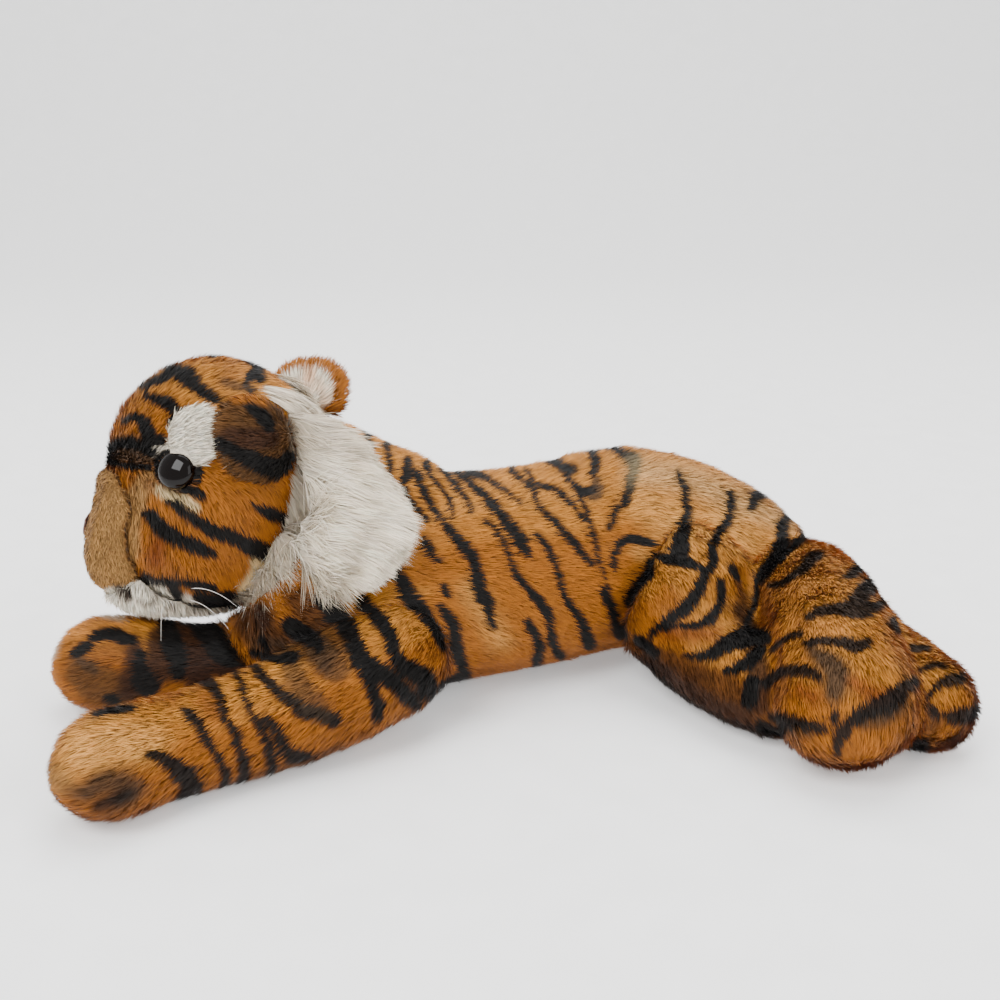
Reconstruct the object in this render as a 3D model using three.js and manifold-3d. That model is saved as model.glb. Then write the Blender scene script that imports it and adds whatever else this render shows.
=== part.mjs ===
// A stuffed plush tiger lying on its belly, its body curved like a C, with both front legs
// stretched forward and both hind legs stretched back. Lengths are millimetres, +Z is up and
// the floor is z = 0. The tiger faces -X and its left side is on the -Y side.
import * as THREE from 'three';
import { mergeVertices } from 'three/addons/utils/BufferGeometryUtils.js';
import Module from 'manifold-3d';

const wasm = await Module();
wasm.setup();

// Fabric and seams
const plushThickness = 3.2; // backing cloth with the dense root of the pile
const seamGap = 0.3; // between two pieces that touch
const stuffingGap = 0.8; // between a cover and its filling
const neckGap = 1; // around the head where it turns against the neck
const passingGap = 0.6; // between two pieces that swing past each other
const floorFlat = 0.5; // how deep the lying forms are pressed flat
const floorReach = 1000; // wider than the toy
const cutOverrun = 40;
const weldDistance = 0.0005;

// Torso: a spine from the chest to the rump, lying on the floor
const torsoLength = 226;
const torsoBend = 92;
const torsoRadius = 59;
const chestAhead = -84; // the chest's centre along X
const chestAside = 3; // and along Y

// Neck: a short stout tube from the chest up into the back of the head
const neckRadius = 49;
const napeRadius = 53; // where it meets the head

// Head: skull, jaw with cheeks, nose bridge and chin, as half lengths from its centre
const headHeight = 125.5; // centre of the skull above the floor
const headAhead = 61.5; // skull centre ahead of the chest's centre
const headAside = 10; // and towards the tiger's right
const headHeading = 3; // degrees that the face turns to the viewer's side
const skullLength = 58.5;
const skullWidth = 56;
const skullHeight = 61;
const faceTaperShare = 0.33; // how much the head narrows towards its front
const jawLength = 53;
const jawWidth = 54;
const jawHeight = 42;
const jawAhead = 5.5;
const jawDrop = 27;
const jawFullness = 2.3; // 2 is an ellipsoid, more is fuller at the corners
const bridgeLength = 28;
const bridgeWidth = 32;
const bridgeHeight = 43;
const bridgeAhead = 38.5;
const bridgeDrop = 25;
const bridgeLean = 19; // degrees that its top leans back
const bridgeFullness = 3;
const chinLength = 46;
const chinWidth = 35;
const chinHeight = 21.5;
const chinAhead = 19.5;
const chinDrop = 53.5;
const chinFullness = 2.5;
const browThickness = 2.6;
const browLength = 13;
const browHeight = 15.5;
const browDepth = 16; // from its face into the skull, where the cover takes its place
const padFullness = 2.3; // of brow patches and ears
const neckHoleRadius = 30;

// Eyes
const eyeRadius = 9.6;
const eyeDome = 5.6;
const eyeRim = 1;
const shankRadius = 2.2;
const shankLength = 12;
const washerRadius = 8;
const washerThickness = 1.6;
const collarRadius = 3.6;
const collarLength = 2.4;

// Nose and whiskers
const noseWidth = 17;
const noseHeight = 11;
const noseDepth = 8;
const noseRounding = 1.2;
const noseDrop = 13; // below the middle of the bridge
const noseStandOut = 1;
const noseCrownShare = 1.3; // how far its top edge bows up
const noseSideShares = [0.8, 0.6]; // how its sides run in to its lower point
const whiskerLength = 44;
const whiskerRadius = 0.45;
const whiskerSag = 4;

// Ears
const earWidth = 22;
const earHeight = 21;
const earThickness = 5;
const earRiseShare = 0.8; // its middle above its root, in half heights
const cupShare = 0.76;

// Ruff of long pile behind the cheeks
const ruffReach = 66;
const ruffThickness = 15;
const ruffSteps = 12;
const endShare = 0.06;
const ruffHang = 14; // degrees that the right one hangs lower, beside the neck

// Legs and tail
const frontLegLength = 166;
const frontLegRadius = 26;
const hindLegLength = 150;
const hindLegRadius = 30;
const tailLength = 210;
const tailRadius = 11;

// How far the sewn joints move, in degrees
const neckTurn = 10;
const legSwing = 8;
const tailSwing = 10;
const earFlip = 20;

const vec = (x, y, z) => new THREE.Vector3(x, y, z);
const upward = vec(0, 0, 1);
const radians = THREE.MathUtils.degToRad;

// Solids and meshes

function solidOf(geometry) {
  const bare = geometry.clone();
  bare.deleteAttribute('normal');
  bare.deleteAttribute('uv');
  const merged = mergeVertices(bare, weldDistance);
  const mesh = new wasm.Mesh({
    numProp: 3,
    vertProperties: merged.attributes.position.array,
    triVerts: Uint32Array.from(merged.index.array),
  });
  return new wasm.Manifold(mesh);
}

function geometryOf(solid) {
  const mesh = solid.getMesh();
  const geometry = new THREE.BufferGeometry();
  geometry.setAttribute('position', new THREE.BufferAttribute(mesh.vertProperties, 3));
  geometry.setIndex(new THREE.BufferAttribute(mesh.triVerts, 1));
  geometry.computeVertexNormals();
  return geometry;
}

function union(solids) {
  return solids.reduce((whole, solid) => whole.add(solid));
}

function without(solid, cutters) {
  return cutters.reduce((rest, cutter) => rest.subtract(cutter), solid);
}

// The largest body of a solid that a cut has left in more than one
function largest(solid) {
  return solid.decompose().sort((a, b) => b.volume() - a.volume())[0];
}

function moved(solid, matrix) {
  return solidOf(geometryOf(solid).applyMatrix4(matrix));
}

// A closed skin over rings of points that run from one tip to the other
function skin(rings, startTip, endTip) {
  const sides = rings[0].length;
  const points = [...rings.flat(), startTip, endTip];
  const faces = [];
  for (let side = 0; side < sides; side += 1) {
    const next = (side + 1) % sides;
    faces.push(points.length - 2, side, next);
    for (let ring = 0; ring + 1 < rings.length; ring += 1) {
      const near = ring * sides;
      const far = near + sides;
      faces.push(near + side, far + side, far + next);
      faces.push(near + side, far + next, near + next);
    }
    const last = (rings.length - 1) * sides;
    faces.push(points.length - 1, last + next, last + side);
  }
  const geometry = new THREE.BufferGeometry().setFromPoints(points);
  geometry.setIndex(faces);
  return geometry;
}

// A sausage with round ends along a spine of stations { at, wide, tall }, the first and last
// being its tips. A negative inset grows it on every side.
function loft(stations, sides, middleRings, inset = 0, domeRings = 3) {
  const spine = new THREE.CatmullRomCurve3(stations.map((station) => station.at));
  const girth = new THREE.CatmullRomCurve3(stations.map(({ wide, tall }) => vec(wide, tall, 0)));
  const length = spine.getLength();
  const startRadius = stations[0].tall - inset;
  const endRadius = stations[stations.length - 1].tall - inset;
  const first = inset;
  const last = length - inset;

  const distances = [];
  for (let ring = 1; ring < domeRings; ring += 1) {
    const turn = (Math.PI / 2) * (ring / domeRings);
    distances.push(first + startRadius * (1 - Math.cos(turn)));
  }
  for (let ring = 0; ring <= middleRings; ring += 1) {
    const reach = last - endRadius - first - startRadius;
    distances.push(first + startRadius + reach * (ring / middleRings));
  }
  for (let ring = domeRings - 1; ring > 0; ring -= 1) {
    const turn = (Math.PI / 2) * (ring / domeRings);
    distances.push(last - endRadius * (1 - Math.cos(turn)));
  }

  const place = (distance) => {
    const share = THREE.MathUtils.clamp(distance / length, 0, 1);
    const beyond = distance - share * length;
    const tangent = spine.getTangentAt(share);
    return { share, tangent, at: spine.getPointAt(share).addScaledVector(tangent, beyond) };
  };
  const dome = (distance, radius) => {
    const left = THREE.MathUtils.clamp(1 - distance / radius, 0, 1);
    return Math.sqrt(1 - left * left);
  };

  const rings = distances.map((distance) => {
    const { share, tangent, at } = place(distance);
    const size = girth.getPoint(spine.getUtoTmapping(share));
    const closing = dome(distance - first, startRadius) * dome(last - distance, endRadius);
    const across = tangent.clone().cross(upward).normalize();
    const above = across.clone().cross(tangent);
    return ringOf(at, across, above, (size.x - inset) * closing, (size.y - inset) * closing, sides);
  });
  return skin(rings, place(first).at, place(last).at);
}

function ringOf(centre, across, above, wide, tall, sides) {
  const ring = [];
  for (let side = 0; side < sides; side += 1) {
    const turn = (2 * Math.PI * side) / sides;
    const point = centre.clone().addScaledVector(across, wide * Math.cos(turn));
    ring.push(point.addScaledVector(above, tall * Math.sin(turn)));
  }
  return ring;
}

// A ball with half lengths along its axes. A fullness over 2 squares it off a little.
function ball(halfLengths, fullness = 2, sides = 20, bands = 12, taper = 0) {
  const geometry = new THREE.SphereGeometry(1, sides, bands);
  geometry.rotateX(Math.PI / 2);
  const position = geometry.attributes.position;
  const point = vec(0, 0, 0);
  for (let i = 0; i < position.count; i += 1) {
    point.fromBufferAttribute(position, i);
    const powers = [point.x, point.y, point.z].map((c) => Math.abs(c) ** fullness);
    const size = (powers[0] + powers[1] + powers[2]) ** (1 / fullness);
    point.divideScalar(size);
    point.y *= 1 - taper * Math.max(point.x, 0);
    point.multiply(halfLengths);
    position.setXYZ(i, point.x, point.y, point.z);
  }
  return geometry;
}

function cylinderAlong(axis, centre, radius, length, sides = 16) {
  const geometry = new THREE.CylinderGeometry(radius, radius, length, sides);
  const turn = new THREE.Quaternion().setFromUnitVectors(vec(0, 1, 0), axis);
  return geometry.applyQuaternion(turn).translate(centre.x, centre.y, centre.z);
}

function standing(profile, axis, base, sides = 16) {
  const geometry = new THREE.LatheGeometry(profile, sides);
  const turn = new THREE.Quaternion().setFromUnitVectors(vec(0, 1, 0), axis);
  return geometry.applyQuaternion(turn).translate(base.x, base.y, base.z);
}

// What a solid sweeps while it turns about an axis through the pivot
function swept(solid, pivot, axis, from, to, steps = 2) {
  const copies = [];
  for (let step = 0; step <= steps; step += 1) {
    const turn = radians(from + (to - from) * (step / steps));
    const matrix = new THREE.Matrix4().makeTranslation(pivot.x, pivot.y, pivot.z);
    matrix.multiply(new THREE.Matrix4().makeRotationAxis(axis, turn));
    matrix.multiply(new THREE.Matrix4().makeTranslation(-pivot.x, -pivot.y, -pivot.z));
    copies.push(moved(solid, matrix));
  }
  return union(copies);
}

function belowFloor() {
  const block = new THREE.BoxGeometry(floorReach, floorReach, cutOverrun);
  return solidOf(block.translate(0, 0, -cutOverrun / 2));
}
const floorBlock = belowFloor();

// The torso with its neck

const chest = vec(chestAhead, chestAside, torsoRadius);
const skullCentre = vec(chest.x - headAhead, chest.y + headAside, headHeight);

// along, bend and girth
const torsoShares = [
  [-0.23, -0.3, 0.93],
  [0, 0, 0.96],
  [0.235, 0.33, 1],
  [0.385, 0.48, 0.98],
  [0.535, 0.67, 0.98],
  [0.7, 0.86, 1.01],
  [0.86, 0.85, 0.94],
  [0.985, 0.68, 0.83],
  [1.16, 0.42, 0.72],
];

function torsoPlace(along, bend) {
  return vec(chest.x + along * torsoLength, chest.y + bend * torsoBend, 0);
}

function torsoStations() {
  return torsoShares.map(([along, bend, girth]) => {
    const radius = girth * torsoRadius;
    const at = torsoPlace(along, bend);
    at.z = radius - floorFlat;
    return { at, wide: radius, tall: radius };
  });
}

// Where the neck starts inside the torso
const neckShares = [0.32, 0.42];

function neckStations() {
  const start = torsoPlace(...neckShares);
  start.z = torsoRadius - floorFlat;
  const middle = start.clone().add(skullCentre).divideScalar(2);
  const girths = [[start, neckRadius], [middle, neckRadius], [skullCentre, napeRadius]];
  return girths.map(([at, radius]) => ({ at, wide: radius, tall: radius }));
}

function torsoForm(inset, sides = 20, rings = 14) {
  const trunk = solidOf(loft(torsoStations(), sides, rings, inset));
  const neck = solidOf(loft(neckStations(), sides, 3, inset));
  return trunk.add(neck);
}

// Its inner forms need less detail
const insideTorso = (inset) => torsoForm(inset, 14, 8);

// The head's forms, in its own frame: +X is ahead, +Y is the tiger's left

const headMatrix = new THREE.Matrix4()
  .makeTranslation(skullCentre.x, skullCentre.y, skullCentre.z)
  .multiply(new THREE.Matrix4().makeRotationZ(Math.PI + radians(headHeading)));
const intoHead = headMatrix.clone().invert();

function grownBall(length, width, height, grow, fullness, sides, bands, taper) {
  return ball(vec(length + grow, width + grow, height + grow), fullness, sides, bands, taper);
}

function skullForm(grow, sides = 22) {
  return solidOf(grownBall(skullLength, skullWidth, skullHeight, grow, 2, sides, sides / 2 + 2, faceTaperShare));
}

function headForm(grow, sides = 22) {
  const jaw = grownBall(jawLength, jawWidth, jawHeight, grow, jawFullness, sides - 4, sides / 2, faceTaperShare);
  return skullForm(grow, sides).add(solidOf(jaw.translate(jawAhead, 0, -jawDrop)));
}

// Its inner forms need less detail
const insideHead = (inset) => headForm(-inset, 14);

// The hollow in the chest and the neck that the head sits and turns in
const socketSides = 24;
const socketBands = 14;

function headSocket() {
  const hollow = (radius, height, drop, fullness) => {
    const form = grownBall(radius, radius, height, neckGap, fullness, socketSides, socketBands);
    return solidOf(form.translate(0, 0, -drop));
  };
  const jaw = hollow(jawWidth + jawAhead, jawHeight, jawDrop, jawFullness);
  const chin = hollow(chinWidth, chinHeight, chinDrop, chinFullness);
  return moved(union([hollow(skullLength, skullHeight, 0, 2), jaw, chin]), headMatrix);
}

function bridgeForm(grow) {
  const bridge = grownBall(bridgeLength, bridgeWidth, bridgeHeight, grow, bridgeFullness, 16, 12);
  bridge.rotateY(radians(-bridgeLean));
  return solidOf(bridge.translate(bridgeAhead, 0, -bridgeDrop));
}

function chinForm(grow) {
  const chin = grownBall(chinLength, chinWidth, chinHeight, grow, chinFullness, 16, 10);
  return solidOf(chin.translate(chinAhead, 0, -chinDrop));
}

// Where a direction from the skull's centre meets the skull, and the surface's normal there
function onSkull(direction) {
  const scale = vec(1 / skullLength, 1 / skullWidth, 1 / skullHeight);
  const at = direction.clone().divideScalar(direction.clone().multiply(scale).length());
  const normal = at.clone().multiply(scale).multiply(scale).normalize();
  return { at, normal };
}

// Legs and tail. Each row gives a station's place from the limb's root as shares of its length
// along X and Y, its height and half sizes as shares of its radius.
const limbs = {
  front_leg_left: {
    rootShares: [0.1, -0.43],
    length: frontLegLength,
    radius: frontLegRadius,
    formShares: [[
      [0.2, 0.15, 1.9, 1.3, 1.3],
      [-0.04, -0.06, 1.5, 1.3, 1.3],
      [-0.23, -0.2, 1.12, 1.08, 1.12],
      [-0.51, -0.36, 0.97, 0.98, 0.97],
      [-0.67, -0.49, 1.02, 1.08, 1.02],
      [-0.81, -0.59, 0.95, 1, 0.95],
    ]],
    swing: [-legSwing, legSwing],
  },
  front_leg_right: {
    rootShares: [0, -0.19],
    length: frontLegLength,
    radius: frontLegRadius,
    formShares: [[
      [0.05, 0.15, 1.5, 0.9, 0.9],
      [-0.2, 0.03, 1.05, 0.98, 0.98],
      [-0.42, 0.0, 0.95, 0.93, 0.93],
      [-0.68, 0.04, 1, 1.04, 1],
      [-0.9, 0.05, 0.9, 1, 0.9],
    ]],
    swing: [-legSwing, legSwing],
    beside: 'front_leg_left',
  },
  hind_leg_left: {
    rootShares: [0.87, 0.45],
    length: hindLegLength,
    radius: hindLegRadius,
    formShares: [
      [
        [0.1, 0.17, 1.83, 1.4, 1.4],
        [-0.03, -0.03, 1.65, 1.45, 1.45],
        [-0.06, -0.16, 1.45, 1.35, 1.35],
        [0.0, -0.28, 1.1, 1.12, 1.1],
        [0.07, -0.41, 0.92, 1.0, 0.92],
        [0.2, -0.56, 0.9, 0.95, 0.9],
        [0.33, -0.7, 0.9, 0.95, 0.9],
      ],
      [
        [0.33, 0.05, 1.6, 1.05, 1.05],
        [0.38, -0.22, 1.75, 1.12, 1.15],
        [0.38, -0.58, 1.5, 1.14, 1.25],
        [0.37, -0.8, 1.2, 1.2, 1.17],
        [0.37, -1.02, 0.95, 1.1, 0.9],
      ],
    ],
    swing: [-legSwing, 0],
  },
  hind_leg_right: {
    rootShares: [0.98, 0.45],
    length: hindLegLength,
    radius: hindLegRadius,
    formShares: [[
      [0.02, 0.14, 1.4, 1.1, 1.1],
      [0.22, -0.12, 1.3, 1, 1],
      [0.38, -0.36, 1.05, 0.85, 0.9],
      [0.49, -0.6, 0.9, 0.9, 0.9],
      [0.52, -0.85, 0.85, 0.87, 0.82],
    ]],
    swing: [0, legSwing],
    beside: 'hind_leg_left',
  },
  tail: {
    rootShares: [1.02, 0.9],
    length: tailLength,
    radius: tailRadius,
    formShares: [[
      [0.05, -0.1, 3.2, 1.25, 1.25],
      [0.0, 0.12, 2, 1.15, 1.15],
      [-0.18, 0.3, 1, 1.05, 1],
      [-0.5, 0.38, 1, 1, 1],
      [-0.8, 0.3, 1, 1, 1],
      [-0.95, 0.22, 0.95, 0.95, 0.95],
    ]],
    swing: [-tailSwing, tailSwing],
  },
};

// The seam's middle on the floor, about which the limb swings
const rootOf = (limb) => torsoPlace(...limb.rootShares);

function limbStations(limb, shares) {
  const { length, radius } = limb;
  const root = rootOf(limb);
  return shares.map(([ahead, aside, height, wide, tall]) => {
    const at = vec(root.x + ahead * length, root.y + aside * length, height * radius - floorFlat);
    return { at, wide: wide * radius, tall: tall * radius };
  });
}

function limbForm(limb, inset) {
  const forms = limb.formShares.map((shares) => loft(limbStations(limb, shares), 12, 5, inset));
  return union(forms.map(solidOf));
}

// What the torso reaches, seen from a limb that swings about an upright line through its root
function torsoSweptFor(limb) {
  const [from, to] = limb.swing;
  return swept(torsoForm(-seamGap), rootOf(limb), upward, -to, -from);
}

// The ways from the skull's centre to the left eye and the left brow patch
const eyeShares = [0.21, 0.95, 0.283];
const browShares = [0.06, 0.83, 0.55];

// Eyes: a glossy dome on a shank, held inside the cover by a lock washer

function eyeSeat(side) {
  const [ahead, aside, above] = eyeShares;
  const { at, normal } = onSkull(vec(ahead, aside * side, above));
  const base = at.clone().addScaledVector(normal, -eyeRim);
  return { base, normal };
}

function eyeSolid(side) {
  const { base, normal } = eyeSeat(side);
  const profile = [new THREE.Vector2(0, -shankLength), new THREE.Vector2(shankRadius, -shankLength)];
  profile.push(new THREE.Vector2(shankRadius, 0), new THREE.Vector2(eyeRadius, 0));
  const domeSteps = 5;
  for (let step = 0; step < domeSteps; step += 1) {
    const turn = (Math.PI / 2) * (step / domeSteps);
    profile.push(new THREE.Vector2(eyeRadius * Math.cos(turn), eyeRim + eyeDome * Math.sin(turn)));
  }
  profile.push(new THREE.Vector2(0, eyeRim + eyeDome));
  return solidOf(standing(profile, normal, base));
}

// The seat that the dome presses into the cover, and the hole for its shank
function eyeCutters(side) {
  const { base, normal } = eyeSeat(side);
  const seatHeight = eyeRim + eyeDome;
  const seatMiddle = base.clone().addScaledVector(normal, seatHeight / 2 - seamGap);
  const holeMiddle = base.clone().addScaledVector(normal, -shankLength / 2);
  return [
    solidOf(cylinderAlong(normal, seatMiddle, eyeRadius + seamGap, seatHeight)),
    solidOf(cylinderAlong(normal, holeMiddle, shankRadius + seamGap, shankLength)),
    washerPocket(side, plushThickness),
  ];
}

const washerDepth = plushThickness + seamGap; // from the eye's base to the washer's face

function washerSolid(side) {
  const { base, normal } = eyeSeat(side);
  const bore = shankRadius + seamGap;
  const profile = [new THREE.Vector2(bore, 0), new THREE.Vector2(bore, -collarLength)];
  profile.push(new THREE.Vector2(collarRadius, -collarLength));
  profile.push(new THREE.Vector2(collarRadius, -washerThickness));
  profile.push(new THREE.Vector2(washerRadius, -washerThickness));
  profile.push(new THREE.Vector2(washerRadius, 0), new THREE.Vector2(bore, 0));
  const face = base.clone().addScaledVector(normal, -washerDepth);
  return solidOf(standing(profile, normal, face));
}

// The hollow for the washer and the shank's end, from a depth below the eye's base inwards
function washerPocket(side, depth) {
  const { base, normal } = eyeSeat(side);
  const middle = base.clone().addScaledVector(normal, -(depth + shankLength + stuffingGap) / 2);
  const length = shankLength + stuffingGap - depth;
  return solidOf(cylinderAlong(normal, middle, washerRadius + stuffingGap, length));
}

// Brow patches, nose and whiskers

function browPatch(side) {
  const [ahead, aside, above] = browShares;
  const { at, normal } = onSkull(vec(ahead, aside * side, above));
  const patch = ball(vec(browLength, browHeight, browDepth), padFullness, 14, 10);
  patch.applyQuaternion(new THREE.Quaternion().setFromUnitVectors(upward, normal));
  const form = solidOf(patch.translate(at.x, at.y, at.z));
  return form.intersect(skullForm(browThickness)).subtract(headForm(seamGap));
}

function noseForm() {
  const wide = noseWidth / 2;
  const tall = noseHeight / 2;
  const [across, below] = noseSideShares;
  const outline = new THREE.Shape();
  outline.moveTo(-wide, tall);
  outline.quadraticCurveTo(0, tall * noseCrownShare, wide, tall);
  outline.quadraticCurveTo(wide * across, -tall * below, 0, -tall);
  outline.quadraticCurveTo(-wide * across, -tall * below, -wide, tall);
  const nose = new THREE.ExtrudeGeometry(outline, {
    depth: noseDepth,
    bevelThickness: noseRounding,
    bevelSize: noseRounding,
    bevelSegments: 2,
    curveSegments: 4,
  });
  nose.applyMatrix4(new THREE.Matrix4().makeBasis(vec(0, 1, 0), upward, vec(1, 0, 0)));
  nose.translate(bridgeLength + noseStandOut - noseDepth - noseRounding, 0, -noseDrop);
  nose.rotateY(radians(-bridgeLean));
  return solidOf(nose.translate(bridgeAhead, 0, -bridgeDrop));
}

// Start inside the jaw as shares of its half lengths, the way that the hair then leads, and its
// share of the longest hair
const whiskers = [
  { startShares: [0.28, 0.72, -0.5], leadShares: [-0.82, 0.56, 0.03], lengthShare: 1 },
  { startShares: [0.26, 0.6, -0.68], leadShares: [-0.72, 0.68, -0.1], lengthShare: 0.95 },
  { startShares: [0.42, 0.5, -0.8], leadShares: [-0.1, 0.9, -0.4], lengthShare: 0.55 },
];

function whiskerForm({ startShares: [ahead, aside, above], leadShares, lengthShare }) {
  const from = vec(jawAhead + ahead * jawLength, aside * jawWidth, above * jawHeight - jawDrop);
  const way = vec(...leadShares).normalize();
  const middle = from.clone().addScaledVector(way, (whiskerLength * lengthShare) / 2);
  const end = middle.clone().addScaledVector(way, (whiskerLength * lengthShare) / 2);
  end.z -= whiskerSag;
  const outline = new THREE.Shape().absarc(0, 0, whiskerRadius, 0, 2 * Math.PI);
  const path = new THREE.QuadraticBezierCurve3(from, middle, end);
  return new THREE.ExtrudeGeometry(outline, { extrudePath: path, steps: 6, curveSegments: 3 });
}

// Ears: a flap with its root on the skull, a cup in front and a lining pad in the cup. Its own
// frame has X across, Y from root to tip and Z out of the cup.

// Root on the skull, way to the tip and way that the cup faces, as shares of the half lengths
const ears = {
  left: {
    rootShares: [-0.7, 0.67, 0.43],
    tipShares: [0.82, 0.6, 0.18],
    faceShares: [0.6, -0.63, -0.47],
    flip: [-earFlip, 0],
  },
  right: {
    rootShares: [-0.73, -0.5, 0.31],
    tipShares: [-0.15, -0.6, 0.75],
    faceShares: [0.2, 0.88, 0.42],
    flip: [0, earFlip],
  },
};

function earMatrix({ rootShares: [ahead, aside, above], tipShares, faceShares }) {
  const at = vec(ahead * skullLength, aside * skullWidth, above * skullHeight);
  const along = vec(...tipShares).normalize();
  const across = along.clone().cross(vec(...faceShares)).normalize();
  const out = across.clone().cross(along);
  return new THREE.Matrix4().makeBasis(across, along, out).setPosition(at);
}

function earFlap(grow) {
  const flap = grownBall(earWidth, earHeight, earThickness, grow, padFullness, 16, 8);
  return solidOf(flap.translate(0, earHeight * earRiseShare, 0));
}

function earCup(grow) {
  const wide = earWidth * cupShare;
  const tall = earHeight * cupShare;
  const cup = grownBall(wide, tall, earThickness, grow, padFullness, 14, 6);
  return solidOf(cup.translate(0, earHeight * earRiseShare, earThickness));
}

const earSweepSteps = 6; // close enough that the thin flap leaves nothing between them

function earPieces(ear) {
  const matrix = earMatrix(ear);
  const root = vec(0, 0, 0).setFromMatrixPosition(matrix);
  const axis = vec(0, 0, 0).setFromMatrixColumn(matrix, 0);
  const [from, to] = ear.flip;
  const cutters = [headForm(seamGap), torsoReach].map((solid) => swept(solid, root, axis, -to, -from));
  const flap = without(moved(earFlap(0).subtract(earCup(0)), matrix), cutters);
  const lining = without(moved(earCup(-seamGap).intersect(earFlap(0)), matrix), cutters);
  const reach = swept(moved(earFlap(seamGap), matrix), root, axis, from, to, earSweepSteps);
  return { root, axis, flap, lining, reach };
}

// The ruff: a crescent of long pile sewn in behind the cheek. Roots are shares of the skull's
// half lengths, leans are shares of the ruff's reach.
const ruffShares = [
  { rootShares: [-0.64, 0.45, 0.62], leanShares: [-0.42, -0.1, -0.1] },
  { rootShares: [-0.72, 0.58, 0.33], leanShares: [-0.7, 0.06, -0.14] },
  { rootShares: [-0.76, 0.68, 0.05], leanShares: [-0.88, 0.18, -0.22] },
  { rootShares: [-0.7, 0.78, -0.25], leanShares: [-0.82, 0.28, -0.2] },
  { rootShares: [-0.56, 0.86, -0.58], leanShares: [-0.6, 0.38, -0.1] },
  { rootShares: [-0.28, 0.84, -0.84], leanShares: [-0.34, 0.34, -0.06] },
];
// The pile's section from root to tip: along the reach, and out as a share of its thickness
const pileShares = [[-0.1, 0], [0.1, 0.6], [0.4, 0.8], [0.75, 0.6], [1, 0.1], [0.7, -0.5], [0.3, -0.6]];

function ruffForm() {
  const roots = ruffShares.map(({ rootShares: [ahead, aside, above] }) => {
    return vec(ahead * skullLength, aside * skullWidth, above * skullHeight);
  });
  const leans = ruffShares.map(({ leanShares }) => vec(...leanShares).multiplyScalar(ruffReach));
  const rootLine = new THREE.CatmullRomCurve3(roots);
  const leanLine = new THREE.CatmullRomCurve3(leans);
  const rings = [];
  for (let step = 0; step <= ruffSteps; step += 1) {
    const root = rootLine.getPoint(step / ruffSteps);
    const lean = leanLine.getPoint(step / ruffSteps);
    const out = lean.clone().cross(rootLine.getTangent(step / ruffSteps)).normalize();
    const closing = Math.sqrt(Math.sin(Math.PI * (endShare + (1 - 2 * endShare) * (step / ruffSteps))));
    rings.push(pileShares.map(([along, thick]) => {
      const point = root.clone().addScaledVector(lean, along);
      return point.addScaledVector(out, thick * ruffThickness * closing);
    }).reverse());
  }
  const middleOf = (ring) => ring.reduce((sum, point) => sum.add(point), vec(0, 0, 0)).divideScalar(ring.length);
  return skin(rings, middleOf(rings[0]), middleOf(rings[rings.length - 1]));
}

function mirrored(geometry) {
  const other = geometry.clone();
  const position = other.attributes.position;
  for (let i = 0; i < position.count; i += 1) position.setY(i, -position.getY(i));
  const index = other.index.array;
  for (let i = 0; i < index.length; i += 3) [index[i], index[i + 1]] = [index[i + 1], index[i]];
  return other;
}

function sided(solid, side) {
  return side > 0 ? solid : solidOf(mirrored(geometryOf(solid)));
}

// Assembly

const colours = {
  orange: '#c98235',
  deepOrange: '#b5702a',
  tan: '#b38b58',
  white: '#ece8e0',
  liningPink: '#e6d2c8',
  filling: '#f3f1ea',
  black: '#171311',
  eye: '#120a06',
  plastic: '#e8e8e4',
};
const cloth = (color) => new THREE.MeshStandardMaterial({ color, roughness: 0.95, metalness: 0 });
const gloss = (color) => new THREE.MeshStandardMaterial({ color, roughness: 0.08, metalness: 0 });

const tiger = new THREE.Group();
const head = new THREE.Group();
head.applyMatrix4(headMatrix);
tiger.add(head);

function add(parent, name, solid, material, origin = vec(0, 0, 0)) {
  const geometry = geometryOf(solid).translate(-origin.x, -origin.y, -origin.z);
  const mesh = new THREE.Mesh(geometry, material);
  mesh.name = name;
  mesh.position.copy(origin);
  parent.add(mesh);
}

const socket = headSocket();
const torsoInHead = moved(torsoForm(-seamGap), intoHead);
const torsoReach = swept(torsoInHead, vec(0, 0, 0), upward, -neckTurn, neckTurn);

function addTorso() {
  const shell = torsoForm(0).subtract(insideTorso(plushThickness));
  add(tiger, 'torso_cover', without(shell, [socket, floorBlock]), cloth(colours.orange));
  const filling = insideTorso(plushThickness + stuffingGap);
  add(tiger, 'torso_stuffing', filling.subtract(socket), cloth(colours.filling));
}

// What a near leg reaches, seen from the far one beside it while both swing
function nearLegReach(near, far) {
  const reach = swept(limbForm(near, -passingGap), rootOf(near), upward, ...near.swing);
  const [from, to] = far.swing;
  return swept(reach, rootOf(far), upward, -to, -from);
}

function addLimbs() {
  for (const [name, limb] of Object.entries(limbs)) {
    const cutters = [torsoSweptFor(limb)];
    if (limb.beside) cutters.push(nearLegReach(limbs[limb.beside], limb));
    const hollow = limbForm(limb, plushThickness);
    const shell = limbForm(limb, 0).subtract(hollow);
    const cover = largest(without(shell, [...cutters, floorBlock]));
    const filling = limbForm(limb, plushThickness + stuffingGap).intersect(hollow);
    const root = rootOf(limb);
    add(tiger, `${name}_cover`, cover, cloth(colours.orange), root);
    add(tiger, `${name}_stuffing`, without(filling, cutters), cloth(colours.filling), root);
  }
}

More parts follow.
